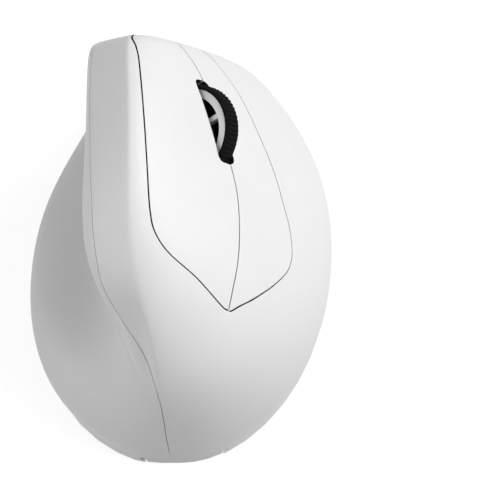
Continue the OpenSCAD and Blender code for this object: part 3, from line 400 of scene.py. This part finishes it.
# %% [markdown]
# ## The form of the shell
# A hand-shaped body has no flat faces and no circles, so it is drawn as boat builders do: rails
# run from heel to nose, and a smooth surface is laid over them. A subdivision cage could do the
# same, but a spline net has exact places, so that a seam can be drawn on it as a curve. A place on
# the skin has s along the body and t around it, from the thumb flare over the ridge to the right.

# %% Rails of the body, in millimetres
millimetre = 0.001
rim_height = 3.4
station_length = np.array([-50.5, -40.5, -23, -4, 14, 31, 45, 50.5])
station_lean = np.array([0, 0.05, 0.12, 0.2, 0.28, 0.36, 0.42, 0.44])
heel_pole = np.array([-2, -50.5, 0])
nose_pole = np.array([2, 50.5, 0])
nose_draw = 0.35
level = [0] * 8
rails = {
    "flare_foot": ([-11, -25, -32.2, -33.7, -31, -23.5, -16.5, -13], level),
    "flare_lip": ([-12, -27.8, -35.4, -36.4, -33.4, -25, -17.5, -14], [3.5, 5, 6, 6, 6, 6, 6, 6]),
    "flare_top": ([-11, -24.4, -30, -29.5, -26.5, -20.5, -16.5, -13.5], [8, 12, 11, 10, 10, 11, 13, 14]),
    "recess_root": ([-9, -18, -18, -15, -13.5, -13.5, -14.5, -13], [12, 21, 16, 13, 14, 16, 19, 21]),
    "recess_wall": ([-7, -13.5, -12.5, -10.5, -10, -11.5, -13.5, -13], [16, 28, 28, 27, 27, 28, 28, 28]),
    "under_edge": ([-5.5, -11, -14.5, -14, -13.5, -14, -15, -14], [19, 34, 40, 42, 42, 41, 38, 36]),
    "overhang": ([-4.5, -9, -20, -21.2, -20.6, -20.8, -21, -20], [21, 37, 46, 49.5, 51, 51, 49, 47]),
    "facet_low": (
        [-4, -7, -18.3, -19.5, -18.7, -18.9, -19.1, -18.1], [22, 39, 49.3, 54, 55.5, 55.5, 54, 52]),
    "facet_high": (
        [-3.5, -5, -10, -10.2, -10, -10.4, -11, -10.6], [23, 40, 54.4, 60.9, 63.6, 64, 63, 60.6]),
    "ridge": ([-3, -3, -8.9, -9.7, -9.6, -10, -10.6, -10.2], [23.5, 41, 54.9, 61.3, 64, 64.4, 63.4, 61]),
    "shoulder": (
        [-1, 1.5, -1.8, -4.5, -5, -5.5, -6.2, -6.5], [23.5, 40.5, 54.2, 61, 63.6, 64, 62.8, 60.4]),
    "palm_high": ([3, 10.5, 12, 10.5, 8.5, 5, 1.5, 0], [22, 35.5, 45, 49, 51, 52, 52, 50]),
    "palm_low": ([5.5, 16.6, 22.4, 22.5, 20.5, 15, 9, 6], [17, 27, 32, 34, 36, 38, 39, 37.5]),
    "crease": ([7, 20.8, 29.6, 32.3, 30.8, 24.7, 16.6, 11.7], [11, 15.5, 19, 20, 22, 24, 25, 24]),
    "bulge": ([8, 22.8, 32.6, 35.6, 35, 29.7, 20.5, 14.6], [5, 6, 7, 8, 8, 9, 10, 10]),
    "right_foot": ([7.5, 21.3, 31.2, 34.4, 33.5, 27.9, 19, 13.6], level),
}
rail_across = np.array([rail[0] for rail in rails.values()], float).T
rail_height = np.array([rail[1] for rail in rails.values()], float).T
rail_length = station_length[:, None] - station_lean[:, None] * rail_height
stations = np.stack([rail_across, rail_length, rail_height], axis=2)
nose_row = stations[-1] + nose_draw * (nose_pole - stations[-1])
net = np.concatenate([
    np.broadcast_to(heel_pole, (1, len(rails), 3)), stations, nose_row[None],
    np.broadcast_to(nose_pole, (1, len(rails), 3))])
net = (net + np.array([0, 0, rim_height])) * millimetre
s_end = net.shape[0] + 1
t_end = net.shape[1] + 1
print("net:", net.shape[:2], "s to", s_end, "t to", t_end)

# %% [markdown]
# ## Points and directions on the skin
# A cubic spline mixes four neighbouring net points at each place. The end points are counted
# three times, so that the skin meets them. The cross product of the two slopes gives the outward
# direction. Near the rim it is laid level, so that the shell stands on a flat edge. A soft bell
# presses a dent into the skin where the thumb recess runs out beside the heel. More rails could
# do that too, but they would disturb the smooth run of all the others.


# %% Spline over the net
def spline_weights(count, places, slope=False):
    """Weights of the net's points at each place along one direction."""
    places = np.asarray(places, float)
    span = np.clip(np.floor(places), 0, count).astype(int)
    f = places - span
    if slope:
        shares = [-(1 - f) ** 2, 3 * f * f - 4 * f, -3 * f * f + 2 * f + 1, f * f]
        shares = [share / 2 for share in shares]
    else:
        shares = [(1 - f) ** 3, 3 * f ** 3 - 6 * f * f + 4, -3 * f ** 3 + 3 * f * f + 3 * f + 1, f ** 3]
        shares = [share / 6 for share in shares]
    table = np.zeros((len(places), count))
    for k, share in enumerate(shares):
        np.add.at(table, (np.arange(len(places)), np.clip(span + k - 2, 0, count - 1)), share)
    return table


def unit(vectors):
    """Vectors of length 1."""
    return vectors / np.linalg.norm(vectors, axis=-1, keepdims=True)


rim_step = 0.05
level_height = 5 * millimetre
dent_place = (3.1, 7.9)
dent_width = (0.5, 0.9)
dent_depth = 2.6 * millimetre
dent_way = unit(np.array([-0.55, -0.35, 0.75]))


def bell(x):
    """Smooth hump of height 1 that ends at 2."""
    return np.clip(1 - np.square(x) / 4, 0, 1) ** 3


def skin_row(s, ts):
    """Points of one row, their outward directions, and their slopes along and around the body."""
    row = np.tensordot(spline_weights(net.shape[0], [s])[0], net, 1)
    rise = np.tensordot(spline_weights(net.shape[0], [s], True)[0], net, 1)
    inside = np.clip(ts, rim_step, t_end - rim_step)
    points = spline_weights(net.shape[1], ts) @ row
    dent_around = bell((np.asarray(ts) - dent_place[1]) / dent_width[1])
    dent = dent_depth * bell((s - dent_place[0]) / dent_width[0]) * dent_around
    points = points - dent[:, None] * dent_way
    along = spline_weights(net.shape[1], inside) @ rise
    around = spline_weights(net.shape[1], inside, True) @ row
    if s <= 0 or s >= s_end:
        outward = np.broadcast_to([0, -1 if s <= 0 else 1, 0], points.shape).astype(float)
    else:
        outward = unit(np.cross(around, along))
        outward[:, 2] *= np.clip((points[:, 2] - rim_height * millimetre) / level_height, 0, 1)
        outward = unit(outward)
    return points, outward, along, around


def steps_at(s, t):
    """Metres of skin per step of s and per step of t."""
    _, _, along, around = skin_row(s, [t])
    return np.linalg.norm(along[0]), np.linalg.norm(around[0])


spin = next(joint for joint in frame["joints"] if joint["name"] == "wheel_spin")
push = next(joint for joint in frame["joints"] if joint["name"] == "back_press")
face_across = unit(np.array(spin["axis"], float))
face_out = unit(np.array(push["axis"], float))
face_forward = np.cross(face_out, face_across)
wheel_s = 6.6
wheel_t = 12.28
face_origin = skin_row(wheel_s, [wheel_t])[0][0]
print("palm face looks along", face_out.round(3))

# %% [markdown]
# ## Seams
# The seams are curves on the skin, each drawn through a few chosen places. The button panel is a
# shield: two outer seams meet at a tip towards the heel, and a middle seam parts the buttons. The
# seam between the two shells runs below the facet and then rises to the heel.


# %% Seam curves
def curve(places, s):
    """Smooth t over s through the chosen places."""
    k = 0
    while k < len(places) - 2 and s > places[k + 1][0]:
        k += 1

    def slope(m):
        before, after = places[max(0, m - 1)], places[min(len(places) - 1, m + 1)]
        return (after[1] - before[1]) / (after[0] - before[0])

    (s0, t0), (s1, t1) = places[k], places[k + 1]
    width = s1 - s0
    f = (s - s0) / width
    return (
        (2 * f ** 3 - 3 * f ** 2 + 1) * t0 + (f ** 3 - 2 * f ** 2 + f) * width * slope(k)
        + (3 * f ** 2 - 2 * f ** 3) * t1 + (f ** 3 - f ** 2) * width * slope(k + 1))


tip_s = 3.6
panel_front = 9.3
left_places = [
    (tip_s, 11.99), (3.62, 11.92), (3.72, 11.74), (3.94, 11.4), (4.08, 11.13), (4.2, 10.93), (4.4, 10.73),
    (4.6, 10.65), (5.4, 10.65), (6.3, 10.59), (7.4, 10.49), (7.8, 10.43), (8.16, 10.26), (8.4, 10.02),
    (8.6, 9.86), (panel_front, 9.75)]
middle_places = [
    (tip_s, 12.04), (3.9, 12.1), (4.2, 12.17), (4.5, 12.22), (5, 12.27), (5.4, 12.28), (5.86, 12.25),
    (7.43, 12.23), (7.87, 12.18), (8.17, 12.09), (8.56, 11.97), (panel_front, 11.75)]
right_places = [
    (tip_s, 12.09), (3.62, 12.13), (3.71, 12.27), (3.84, 12.49), (4, 12.72), (4.18, 12.95), (4.43, 13.21),
    (4.57, 13.29), (4.75, 13.32), (5.07, 13.28), (5.47, 13.18), (6, 13.11), (6.6, 13.06), (7.4, 13.06),
    (7.83, 13), (8.3, 12.9), (8.7, 12.77), (panel_front, 12.6)]
thumb_places = [
    (0, 9.4), (1.4, 9.4), (2.04, 9.35), (2.7, 8.1), (3.2, 7.58), (3.7, 7.7), (4.2, 8), (5, 8.05),
    (5.6, 7.93), (6.7, 7.78), (8.1, 7.8), (s_end, 7.8)]
left_fan = 0.3
right_fan = 0.4
least_step = 0.2 * millimetre


def left_seam(s):
    """Outer seam of the left button, fanned out behind the tip."""
    if s < tip_s:
        return left_places[0][1] - left_fan * (tip_s - s)
    return curve(left_places, min(s, panel_front))


def right_seam(s):
    """Outer seam of the right button, fanned out behind the tip."""
    if s < tip_s:
        return right_places[0][1] + right_fan * (tip_s - s)
    return curve(right_places, min(s, panel_front))


def thumb_seam(s):
    """Seam between the two shells."""
    return curve(thumb_places, s)


def t_step(s, t, length):
    """Step of t that moves a place by a length in millimetres across the skin."""
    return length * millimetre / max(least_step, steps_at(s, t)[1])


tip_middle = skin_row(tip_s, [middle_places[0][1]])[0][0]
print("tip of the shield:", (tip_middle / millimetre).round(1), "mm")

# %% [markdown]
# ## Sheets with soft lips
# A shell is a sheet between an outer and an inner grid of points, closed by walls where the grid
# ends or has an opening. Real mouldings have no knife edges, so a bevel modifier rounds each lip.
# Weighted normals keep the broad skin smooth beside the narrow bevel.


# %% Sheet builder
same_place = 1e-7
peg_sides = 32


def sheet_mesh(name, outer, inner, is_open=lambda i, j: False):
    """Closed quad mesh between two grids, with holes where is_open says so."""
    rows, cols = outer.shape[:2]
    points = np.concatenate([outer.reshape(-1, 3), inner.reshape(-1, 3)])
    under = rows * cols

    def used(i, j):
        return 0 <= i < rows - 1 and 0 <= j < cols - 1 and not is_open(i, j)

    faces = []
    for i in range(rows - 1):
        for j in range(cols - 1):
            if not used(i, j):
                continue
            a, b = i * cols + j, i * cols + j + 1
            c, d = b + cols, a + cols
            faces.append((a, b, c, d))
            faces.append((a + under, d + under, c + under, b + under))
            if not used(i, j - 1):
                faces.append((d, d + under, a + under, a))
            if not used(i + 1, j):
                faces.append((c, c + under, d + under, d))
            if not used(i, j + 1):
                faces.append((b, b + under, c + under, c))
            if not used(i - 1, j):
                faces.append((a, a + under, b + under, b))
    mesh = bpy.data.meshes.new(name)
    mesh.from_pydata(points.tolist(), [], faces)
    return mesh


def tidy_mesh(mesh, pegs=()):
    """Joins points at the same place, drops unused ones, adds round pegs and turns faces outward."""
    work = bmesh.new()
    work.from_mesh(mesh)
    bmesh.ops.remove_doubles(work, verts=work.verts, dist=same_place)
    bmesh.ops.delete(work, geom=[v for v in work.verts if not v.link_faces], context="VERTS")
    bmesh.ops.dissolve_degenerate(work, edges=work.edges, dist=same_place)
    for start, end, radius in pegs:
        start, end = Vector(start), Vector(end)
        turn = (end - start).to_track_quat("Z", "Y").to_matrix().to_4x4()
        bmesh.ops.create_cone(
            work, cap_ends=True, segments=peg_sides, radius1=radius, radius2=radius,
            depth=(end - start).length, matrix=Matrix.Translation((start + end) / 2) @ turn)
    bmesh.ops.recalc_face_normals(work, faces=work.faces)
    work.to_mesh(mesh)
    work.free()


def soften(piece, lip, angle=40):
    """Rounds the sharp edges of a piece and smooths the rest."""
    piece.data.shade_smooth()
    edge = piece.modifiers.new("lips", "BEVEL")
    edge.limit_method = "ANGLE"
    edge.angle_limit = math.radians(angle)
    edge.width = lip
    edge.segments = 2
    edge.use_clamp_overlap = True
    normals = piece.modifiers.new("even_normals", "WEIGHTED_NORMAL")
    normals.keep_sharp = True
    return piece


def show(name, mesh, finish, body, node):
    """Puts a mesh into the scene as a piece that stands for a solid."""
    mesh.materials.clear()
    mesh.materials.append(finish)
    piece = bpy.data.objects.new(name, mesh)
    bpy.context.scene.collection.objects.link(piece)
    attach(piece, body)
    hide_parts(node)
    return piece


def steps(*stretches):
    """Places along several stretches (start, end, count), without repeats."""
    parts = [np.linspace(a, b, n + 1) for a, b, n in stretches]
    return np.concatenate([parts[0]] + [part[1:] for part in parts[1:]])


print("sheet builder ready")

# %% [markdown]
# ## The two shells
# The thumb shell holds the flare, the recess and the overhang, with a window for the thumb
# buttons. The palm shell holds the facet, the ridge, the palm and the heel, and its opening is the
# shield of the main buttons. Both use the same skin, each with its own columns between its seams.
# The edges of an opening run along the press, as the real parts do, so that the gap stays even.
# Over the next few cells the wall turns from that direction to its own, or it would fold.

# %% Thumb shell
shell_wall = 1.8 * millimetre
wall_blend = 5
shell_seam = 0.2
shell_lip = 0.1 * millimetre
first_s = 0.8
last_s = 11.2
tip_round = 3.74
shoulder_s = 4.8
crest_s = 8.1
window_rear = 4.75
window_front = 7.9
window_low = 5.8
window_high = 7
boss_radius = 2.7 * millimetre
boss_height = 6 * millimetre
boss_merge = 0.8 * millimetre
boss_places = [4.4, 7]


def shell(name, rows, columns, opening, wall_at_opening, foot_t):
    """A shell moulding from its rows, its columns and the box of cells that is open."""
    i0, i1, j0, j1 = opening
    grid = [skin_row(s, columns(s)) for s in rows]
    outer = np.array([row[0] for row in grid])
    row_place, column_place = np.indices(outer.shape[:2])
    rows_away = np.maximum(i0 - row_place, row_place - i1)
    columns_away = np.maximum(j0 - column_place, column_place - j1)
    away = np.maximum(np.maximum(rows_away, columns_away), 0)
    share = np.clip(1 - away / wall_blend, 0, 1)[:, :, None]
    outward = np.array([row[1] for row in grid])
    inner = outer - share * wall_at_opening - (1 - share) * shell_wall * outward
    mesh = sheet_mesh(name, outer, inner, lambda i, j: i0 <= i < i1 and j0 <= j < j1)
    bosses = []
    for s in boss_places:
        foot_points, foot_outward, _, _ = skin_row(s, [foot_t])
        foot = foot_points[0] - foot_outward[0] * (shell_wall + boss_radius - boss_merge)
        bosses.append((foot, foot + np.array([0, 0, boss_height]), boss_radius))
    tidy_mesh(mesh, bosses)
    print(name, len(mesh.polygons), "faces")
    return mesh


rear_rows = 26
window_rows = 18
flare_columns = 34
window_columns = 8
thumb_rows = np.concatenate([
    [0],
    steps((first_s, window_rear, rear_rows), (window_rear, window_front, window_rows),
          (window_front, last_s, 34)),
    [s_end]])
thumb_opening = (
    1 + rear_rows, 1 + rear_rows + window_rows, flare_columns, flare_columns + window_columns)


def thumb_columns(s):
    """Places around the body from the flare's foot to the seam."""
    edge = thumb_seam(s) - t_step(s, thumb_seam(s), shell_seam / 2)
    return steps(
        (0, window_low, flare_columns), (window_low, window_high, window_columns), (window_high, edge, 12))


thumb_mesh = shell(
    "thumb_shell_moulding", thumb_rows, thumb_columns, thumb_opening, -shell_wall * face_out, 0)
thumb_moulding = show(
    "thumb_shell_moulding", thumb_mesh, shell_white, "case", "thumb_shell")
soften(thumb_moulding, shell_lip)

# %% Palm shell
heel_rows = 26
tip_steps = 6
panel_rows = (18, 24, 18)
facet_columns = 26
panel_columns = 20
tip_rows = tip_s + (tip_round - tip_s) * np.linspace(0, 1, tip_steps + 1) ** 2
palm_rows = np.concatenate([
    [0],
    np.linspace(first_s, tip_s, heel_rows + 1)[:-1],
    tip_rows[:-1],
    steps((tip_round, shoulder_s, panel_rows[0]), (shoulder_s, crest_s, panel_rows[1]),
          (crest_s, panel_front, panel_rows[2])),
    np.linspace(panel_front, last_s, 17)[1:],
    [s_end]])
palm_opening = (
    1 + heel_rows, 1 + heel_rows + tip_steps + sum(panel_rows), facet_columns, facet_columns + panel_columns)


def palm_columns(s):
    """Places around the body from the seam over the ridge to the right foot."""
    edge = thumb_seam(s) + t_step(s, thumb_seam(s), shell_seam / 2)
    left, right = left_seam(s), right_seam(s)
    return steps((edge, left, facet_columns), (left, right, panel_columns), (right, t_end, 28))


palm_mesh = shell(
    "palm_shell_moulding", palm_rows, palm_columns, palm_opening, shell_wall * face_out, t_end)
palm_moulding = show("palm_shell_moulding", palm_mesh, shell_white, "case", "palm_shell")
soften(palm_moulding, shell_lip)

# %% [markdown]
# ## The main buttons
# Each cap is a patch of the same skin, set back from the seams by the gap. Between them the wheel
# needs a slot with round corners, so the two edges at the middle seam step aside there. Cutting the
# slot with a boolean would leave ragged triangles. Here the rows lie closer together at its ends
# instead, and each edge point is moved along its row until it lies on the slot's outline.

# %% Slot for the wheel
wheel_radius = 10.7
wheel_sink = 6
wheel_shift = -1.7
cap_wall = 1.6
slot_side = 2.6
slot_corner = 1.6
slot_sag = 0.5
slot_end_play = 0.4
slot_depth = wheel_sink - cap_wall - slot_sag
slot_half = math.sqrt(wheel_radius ** 2 - slot_depth ** 2) + slot_end_play


def to_face(point):
    """A point's place across, forward and out of the palm face, in millimetres."""
    away = (np.asarray(point) - face_origin) / millimetre
    return away @ face_across, away @ face_forward, away @ face_out


def slot_row(y):
    """Row of the skin that passes over the middle of the slot at a length along it."""
    s, t = wheel_s, wheel_t
    along, around = steps_at(wheel_s, wheel_t)
    for _ in range(8):
        x_now, y_now, _ = to_face(skin_row(s, [t])[0][0])
        s += (y - y_now) * millimetre / along
        t += (wheel_shift - x_now) * millimetre / around
    return s


def slot_reach(y):
    """Half width of the slot at a length along it."""
    past = max(0, abs(y) - slot_half + slot_corner)
    return slot_side - slot_corner + math.sqrt(max(0, slot_corner ** 2 - past ** 2))


def slot_t(s, side):
    """Place around the body where a row meets the left (-1) or right (1) edge of the slot."""
    t = wheel_t
    around = steps_at(wheel_s, wheel_t)[1]
    for _ in range(6):
        x, y, _ = to_face(skin_row(s, [t])[0][0])
        t += (wheel_shift + side * slot_reach(y) - x) * millimetre / around
    return t


slot_turns = np.radians(np.arange(0, 91, 10))
end_steps = slot_corner * (1 - np.cos(slot_turns))
slot_straight = slot_half - slot_corner
slot_rows = np.array([slot_row(y) for y in np.concatenate([
    -slot_half + end_steps, np.linspace(-slot_straight, slot_straight, 14)[1:-1],
    (slot_half - end_steps)[::-1]])])
slot_rear, slot_front = slot_rows[0], slot_rows[-1]
print("slot:", round(2 * slot_half, 1), "by", 2 * slot_side, "mm")

# %% Edges of the caps
button_gap = 0.3
cap_relief = 0.6
cap_least = 0.02
slot_edge = 0.01
slope_reach = 0.02
hinge_depth = 15
press_angle = math.radians(0.6)


def seen_steps(s, t):
    """Metres per step of s and of t as seen along the press."""
    _, _, along, around = skin_row(s, [t])
    return [np.linalg.norm(slope[0] - (slope[0] @ face_out) * face_out) for slope in (along, around)]


def outer_edge(places, s, side):
    """Edge that leaves the gap beside a seam, also where the seam runs at a slant."""
    inset = 0
    run = (curve(places, s + slope_reach) - curve(places, s - slope_reach)) / (2 * slope_reach)
    for _ in range(2):
        along, around = seen_steps(s, curve(places, s) + side * inset / 2)
        inset = button_gap * millimetre * math.hypot(1, run * around / along) / around
    return curve(places, s) + side * inset


def middle_edge(s, side):
    """Edge beside the open line at the middle seam, or beside the slot."""
    t = curve(middle_places, s)
    line = t + side * t_step(s, t, button_gap / 2)
    if s < slot_rear or s > slot_front:
        return line
    return min(line, slot_t(s, side)) if side < 0 else max(line, slot_t(s, side))


def left_edges(s):
    """Outer and inner edge of the left cap."""
    inner = middle_edge(s, -1)
    return min(outer_edge(left_places, s, 1), inner - cap_least), inner


def right_edges(s):
    """Inner and outer edge of the right cap."""
    inner = middle_edge(s, 1)
    return inner, max(outer_edge(right_places, s, -1), inner + cap_least)


def cap_rows(edges):
    """Rows of a cap. A press moves its front edge a little forward, so the gap is wider there."""
    lead = hinge_depth * math.sin(press_angle)
    slowest = min(seen_steps(panel_front, t)[0] for t in edges(panel_front))
    front = panel_front - (button_gap + lead) * millimetre / slowest
    tip = tip_s + button_gap * millimetre / seen_steps(tip_s, middle_places[0][1])[0]
    return np.concatenate([
        [tip],
        tip_rows[tip_rows > tip + slot_edge],
        np.linspace(tip_round, shoulder_s, panel_rows[0] + 1)[1:],
        np.linspace(shoulder_s, slot_rear - slot_edge, 9)[1:],
        slot_rows,
        steps((slot_front + slot_edge, crest_s, 5), (crest_s, front, panel_rows[2]))])


print("left cap at the wheel:", [round(t, 3) for t in left_edges(wheel_s)])

# %% [markdown]
# ## Cap mouldings
# Hardly any light falls between two parts that stand 0.3 mm apart, and the camera looks straight
# at the flanks of the left cap and of the slot. White flanks would scatter the light back out and
# wash the dark line away. So the left cap's flanks and underside are painted black as painted
# shade, and so are the right cap's beside the slot. The wall is thinner at the outer and the front
# edge, which dip under the edge of the shell when the button is pressed. Two posts under each cap
# carry it on its lever.

# %% Button caps
post_radius = 1.6 * millimetre
cap_lip = 0.12 * millimetre
cap_columns = 19
# flank_limit and slot_margin pick the faces that get painted shade in black.
flank_limit = 0.3
slot_margin = (0.3, 0.1)
rear_post = (-18, -8.27, -3.6)
left_front_post = (4, -6.13, -1.6)
right_front_post = (4, -6.13, -1.8)
left_post_x = -10.5
right_post_x = 8.5


def face_point(x, y, z):
    """Point in the frame of the palm face, given in millimetres."""
    return face_origin + millimetre * (x * face_across + y * face_forward + z * face_out)


def give_painted_shade(mesh, gets_painted_shade):
    """Gives the picked faces a second finish: black, as painted shade."""
    mesh.materials.append(painted_shade_finish)
    for face in mesh.polygons:
        if gets_painted_shade(np.array(face.center), np.array(face.normal)):
            face.material_index = 1


def is_flank(middle, normal):
    """True for the flanks of a cap, which run along the press, and for its underside."""
    return normal @ face_out < flank_limit


def in_slot(middle, normal):
    """True for the faces round the slot of the wheel that are painted black as painted shade."""
    x, y, _ = to_face(middle)
    beside = abs(x - wheel_shift) < slot_side + slot_margin[0] and abs(y) < slot_half + slot_margin[1]
    return beside and is_flank(middle, normal)


def button_cap(name, edges, outer_column, post_x, posts, body, node, gets_painted_shade):
    """A button cap with its posts; each post is (forward, low end, high end)."""
    outer = np.array([skin_row(s, np.linspace(*edges(s), cap_columns))[0] for s in cap_rows(edges)])
    wall = np.full(outer.shape[:2], cap_wall)
    wall[:, outer_column] -= cap_relief
    wall[-1] = cap_wall - cap_relief
    mesh = sheet_mesh(name, outer, outer - wall[:, :, None] * millimetre * face_out)
    tidy_mesh(mesh, [
        (face_point(post_x, y, low), face_point(post_x, y, high), post_radius) for y, low, high in posts])
    piece = show(name, mesh, shell_white, body, node)
    give_painted_shade(mesh, gets_painted_shade)
    print(name, len(mesh.polygons), "faces")
    return soften(piece, cap_lip)


# The picked flanks of each cap are painted black as painted shade.
button_cap(
    "left_button_cap", left_edges, 0, left_post_x,
    [rear_post, left_front_post], "left_key", "left_button", is_flank)
button_cap(
    "right_button_cap", right_edges, cap_columns - 1, right_post_x,
    [rear_post, right_front_post], "right_key", "right_button", in_slot)

# %% [markdown]
# ## The thumb buttons
# Two long keys lie side by side under the overhang. They stand a little proud of the recess wall
# and slide straight in, so their flanks run along the press. They are patches of the skin too,
# moved outward, with a rounder lip than the shells because a thumb rolls over it.

# %% Thumb keys
thumb_gap = 0.4 * millimetre
thumb_proud = 0.8 * millimetre
thumb_lip = 0.3 * millimetre
key_rows = 25
key_columns = 15
stem_radius = 1.5 * millimetre
stem_end = -16.6 * millimetre
window_split = (window_rear + window_front) / 2
window_middle = (window_low + window_high) / 2


def thumb_key(name, rear, front, body, node):
    """One thumb key between two places along the window."""
    along, around = steps_at((rear + front) / 2, window_middle)
    rows = np.linspace(rear + thumb_gap / along, front - thumb_gap / along, key_rows)
    columns = np.linspace(window_low + thumb_gap / around, window_high - thumb_gap / around, key_columns)
    skin = np.array([skin_row(s, columns)[0] for s in rows])
    mesh = sheet_mesh(name, skin - thumb_proud * face_out, skin + shell_wall * face_out)
    stem = skin_row((rear + front) / 2, [window_middle])[0][0]
    depth = (stem - face_origin) @ face_out
    stem_foot = stem + 0.5 * shell_wall * face_out
    tidy_mesh(mesh, [(stem_foot, stem + (stem_end - depth) * face_out, stem_radius)])
    key = show(name, mesh, shell_white, body, node)
    return soften(key, thumb_lip)


back_key = thumb_key("back_thumb_key", window_rear, window_split, "back_key", "back_button")
forward_key = thumb_key("forward_thumb_key", window_split, window_front, "forward_key", "forward_button")
print("thumb keys:", back_key.name, forward_key.name)

# %% [markdown]
# ## The wheel
# The tyre is a rubber ring with a fine tread that the fingertip grips. The tread is real relief:
# the ring is lathed, and every second pair of steps round it is drawn in a little. The hub keeps
# its solid's shape, with softened edges.

# %% Tyre with its tread
tyre_low, tyre_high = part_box("wheel_tyre")
wheel_middle = np.array((tyre_low + tyre_high) / 2)
hub_radius = 9.6
tyre_half = 2
tread_count = 64
tread_depth = 0.28
tread_pattern = [0, 0, tread_depth, tread_depth]
wall_top = wheel_radius - 0.75
corner_radius = wheel_radius - 0.35
corner_inset = 0.25
tread_inset = 0.65


def tyre_profile(cut):
    """Half outline of the tyre as (across, radius), with the tread drawn in by cut."""
    return [
        (-tyre_half, hub_radius), (-tyre_half, wall_top),
        (-tyre_half + corner_inset, corner_radius), (-tyre_half + tread_inset, wheel_radius - cut),
        (0, wheel_radius - cut),
        (tyre_half - tread_inset, wheel_radius - cut), (tyre_half - corner_inset, corner_radius),
        (tyre_half, wall_top), (tyre_half, hub_radius)]


tyre_points = []
tyre_steps = tread_count * len(tread_pattern)
for step in range(tyre_steps):
    angle = 2 * math.pi * step / tyre_steps
    spoke = math.cos(angle) * face_forward + math.sin(angle) * face_out
    for across, radius in tyre_profile(tread_pattern[step % len(tread_pattern)]):
        tyre_points.append(wheel_middle + millimetre * (across * face_across + radius * spoke))
ring_size = len(tyre_profile(0))
tyre_faces = []
for step in range(tyre_steps):
    after = (step + 1) % tyre_steps
    for k in range(ring_size):
        nxt = (k + 1) % ring_size
        tyre_faces.append((
            step * ring_size + k, step * ring_size + nxt, after * ring_size + nxt, after * ring_size + k))
tyre_mesh = bpy.data.meshes.new("treaded_tyre")
tyre_mesh.from_pydata([tuple(p) for p in tyre_points], [], tyre_faces)
tidy_mesh(tyre_mesh)
tyre = show("treaded_tyre", tyre_mesh, tyre_rubber, "wheel", "wheel_tyre")
print("tread ribs:", tread_count, "faces:", len(tyre_mesh.polygons))

# %% [markdown]
# ## Softened solids
# The base, its door, the pads, the hub and the knob keep the shape of their solids. A copy of the
# solid's mesh is cleaned, flat triangles are joined back into whole faces, and a bevel rounds the
# edges. This catches light along each edge, which a raw solid does not. The hub's inner side lies in
# the dark of the case, so it is painted black as painted shade.


# %% Softened copies
copy_join = 2e-6
flat_angle = math.radians(0.5)
fine_edge = 0.15 * millimetre


def softened_copy(node, name, finish, body, lip):
    """A copy of a solid's mesh with its edges rounded by lip."""
    mesh = nodes[node].data.copy()
    work = bmesh.new()
    work.from_mesh(mesh)
    bmesh.ops.remove_doubles(work, verts=work.verts, dist=copy_join)
    bmesh.ops.dissolve_limit(work, angle_limit=flat_angle, verts=work.verts, edges=work.edges)
    work.to_mesh(mesh)
    work.free()
    piece = show(name, mesh, finish, body, node)
    soften(piece, lip, angle=30)
    print(name, len(mesh.polygons), "faces")
    return piece


def faces_axle(middle, normal):
    """True for the faces of the hub's ring that look towards the axle."""
    return normal @ (middle - wheel_middle) < -0.5 * hub_radius * millimetre


softened_copy("base_plate", "base_moulding", shell_white, "case", fine_edge)
softened_copy("battery_door", "sliding_door", shell_white, "door", fine_edge)
softened_copy("glide_feet", "glide_pads", pad_dark, "case", fine_edge)
hub = softened_copy("wheel_hub", "spoked_hub", hub_white, "wheel", fine_edge)
# The ring's faces towards the axle are painted black as painted shade.
give_painted_shade(hub.data, faces_axle)
softened_copy("power_knob", "ribbed_knob", inside_grey, "knob", fine_edge)

# %% [markdown]
# ## Inner pieces
# The rest keeps its solids: boards, switches, pins, screws, levers and the cell. Each gets the
# finish of its material, because the inside shows through the wheel's slot and the battery bay.

# %% Finishes of the inner pieces
inner_finishes = {
    "left_arm": inside_grey, "right_arm": inside_grey,
    "wheel_carrier": inside_grey, "inner_frame": inside_grey,
    "case_screws": bright_steel, "frame_screws": bright_steel, "board_screws": bright_steel,
    "hinge_pin": bright_steel, "wheel_axle": bright_steel, "carrier_pin": bright_steel,
    "battery_spring": bright_steel, "battery_contact": bright_steel,
    "button_board": green_board, "main_board": green_board,
    "scroll_encoder": chip_resin, "left_switch": chip_resin, "right_switch": chip_resin,
    "middle_switch": chip_resin, "side_switches": chip_resin, "controller_chip": chip_resin,
    "optical_sensor": chip_resin, "power_switch": chip_resin,
    "sensor_lens": lens_clear, "ribbon_cable": amber_film, "ribbon_connectors": connector_cream,
    "battery": jacket,
}
for node, finish in inner_finishes.items():
    nodes[node].data.materials.clear()
    nodes[node].data.materials.append(finish)
print("inner pieces:", len(inner_finishes))
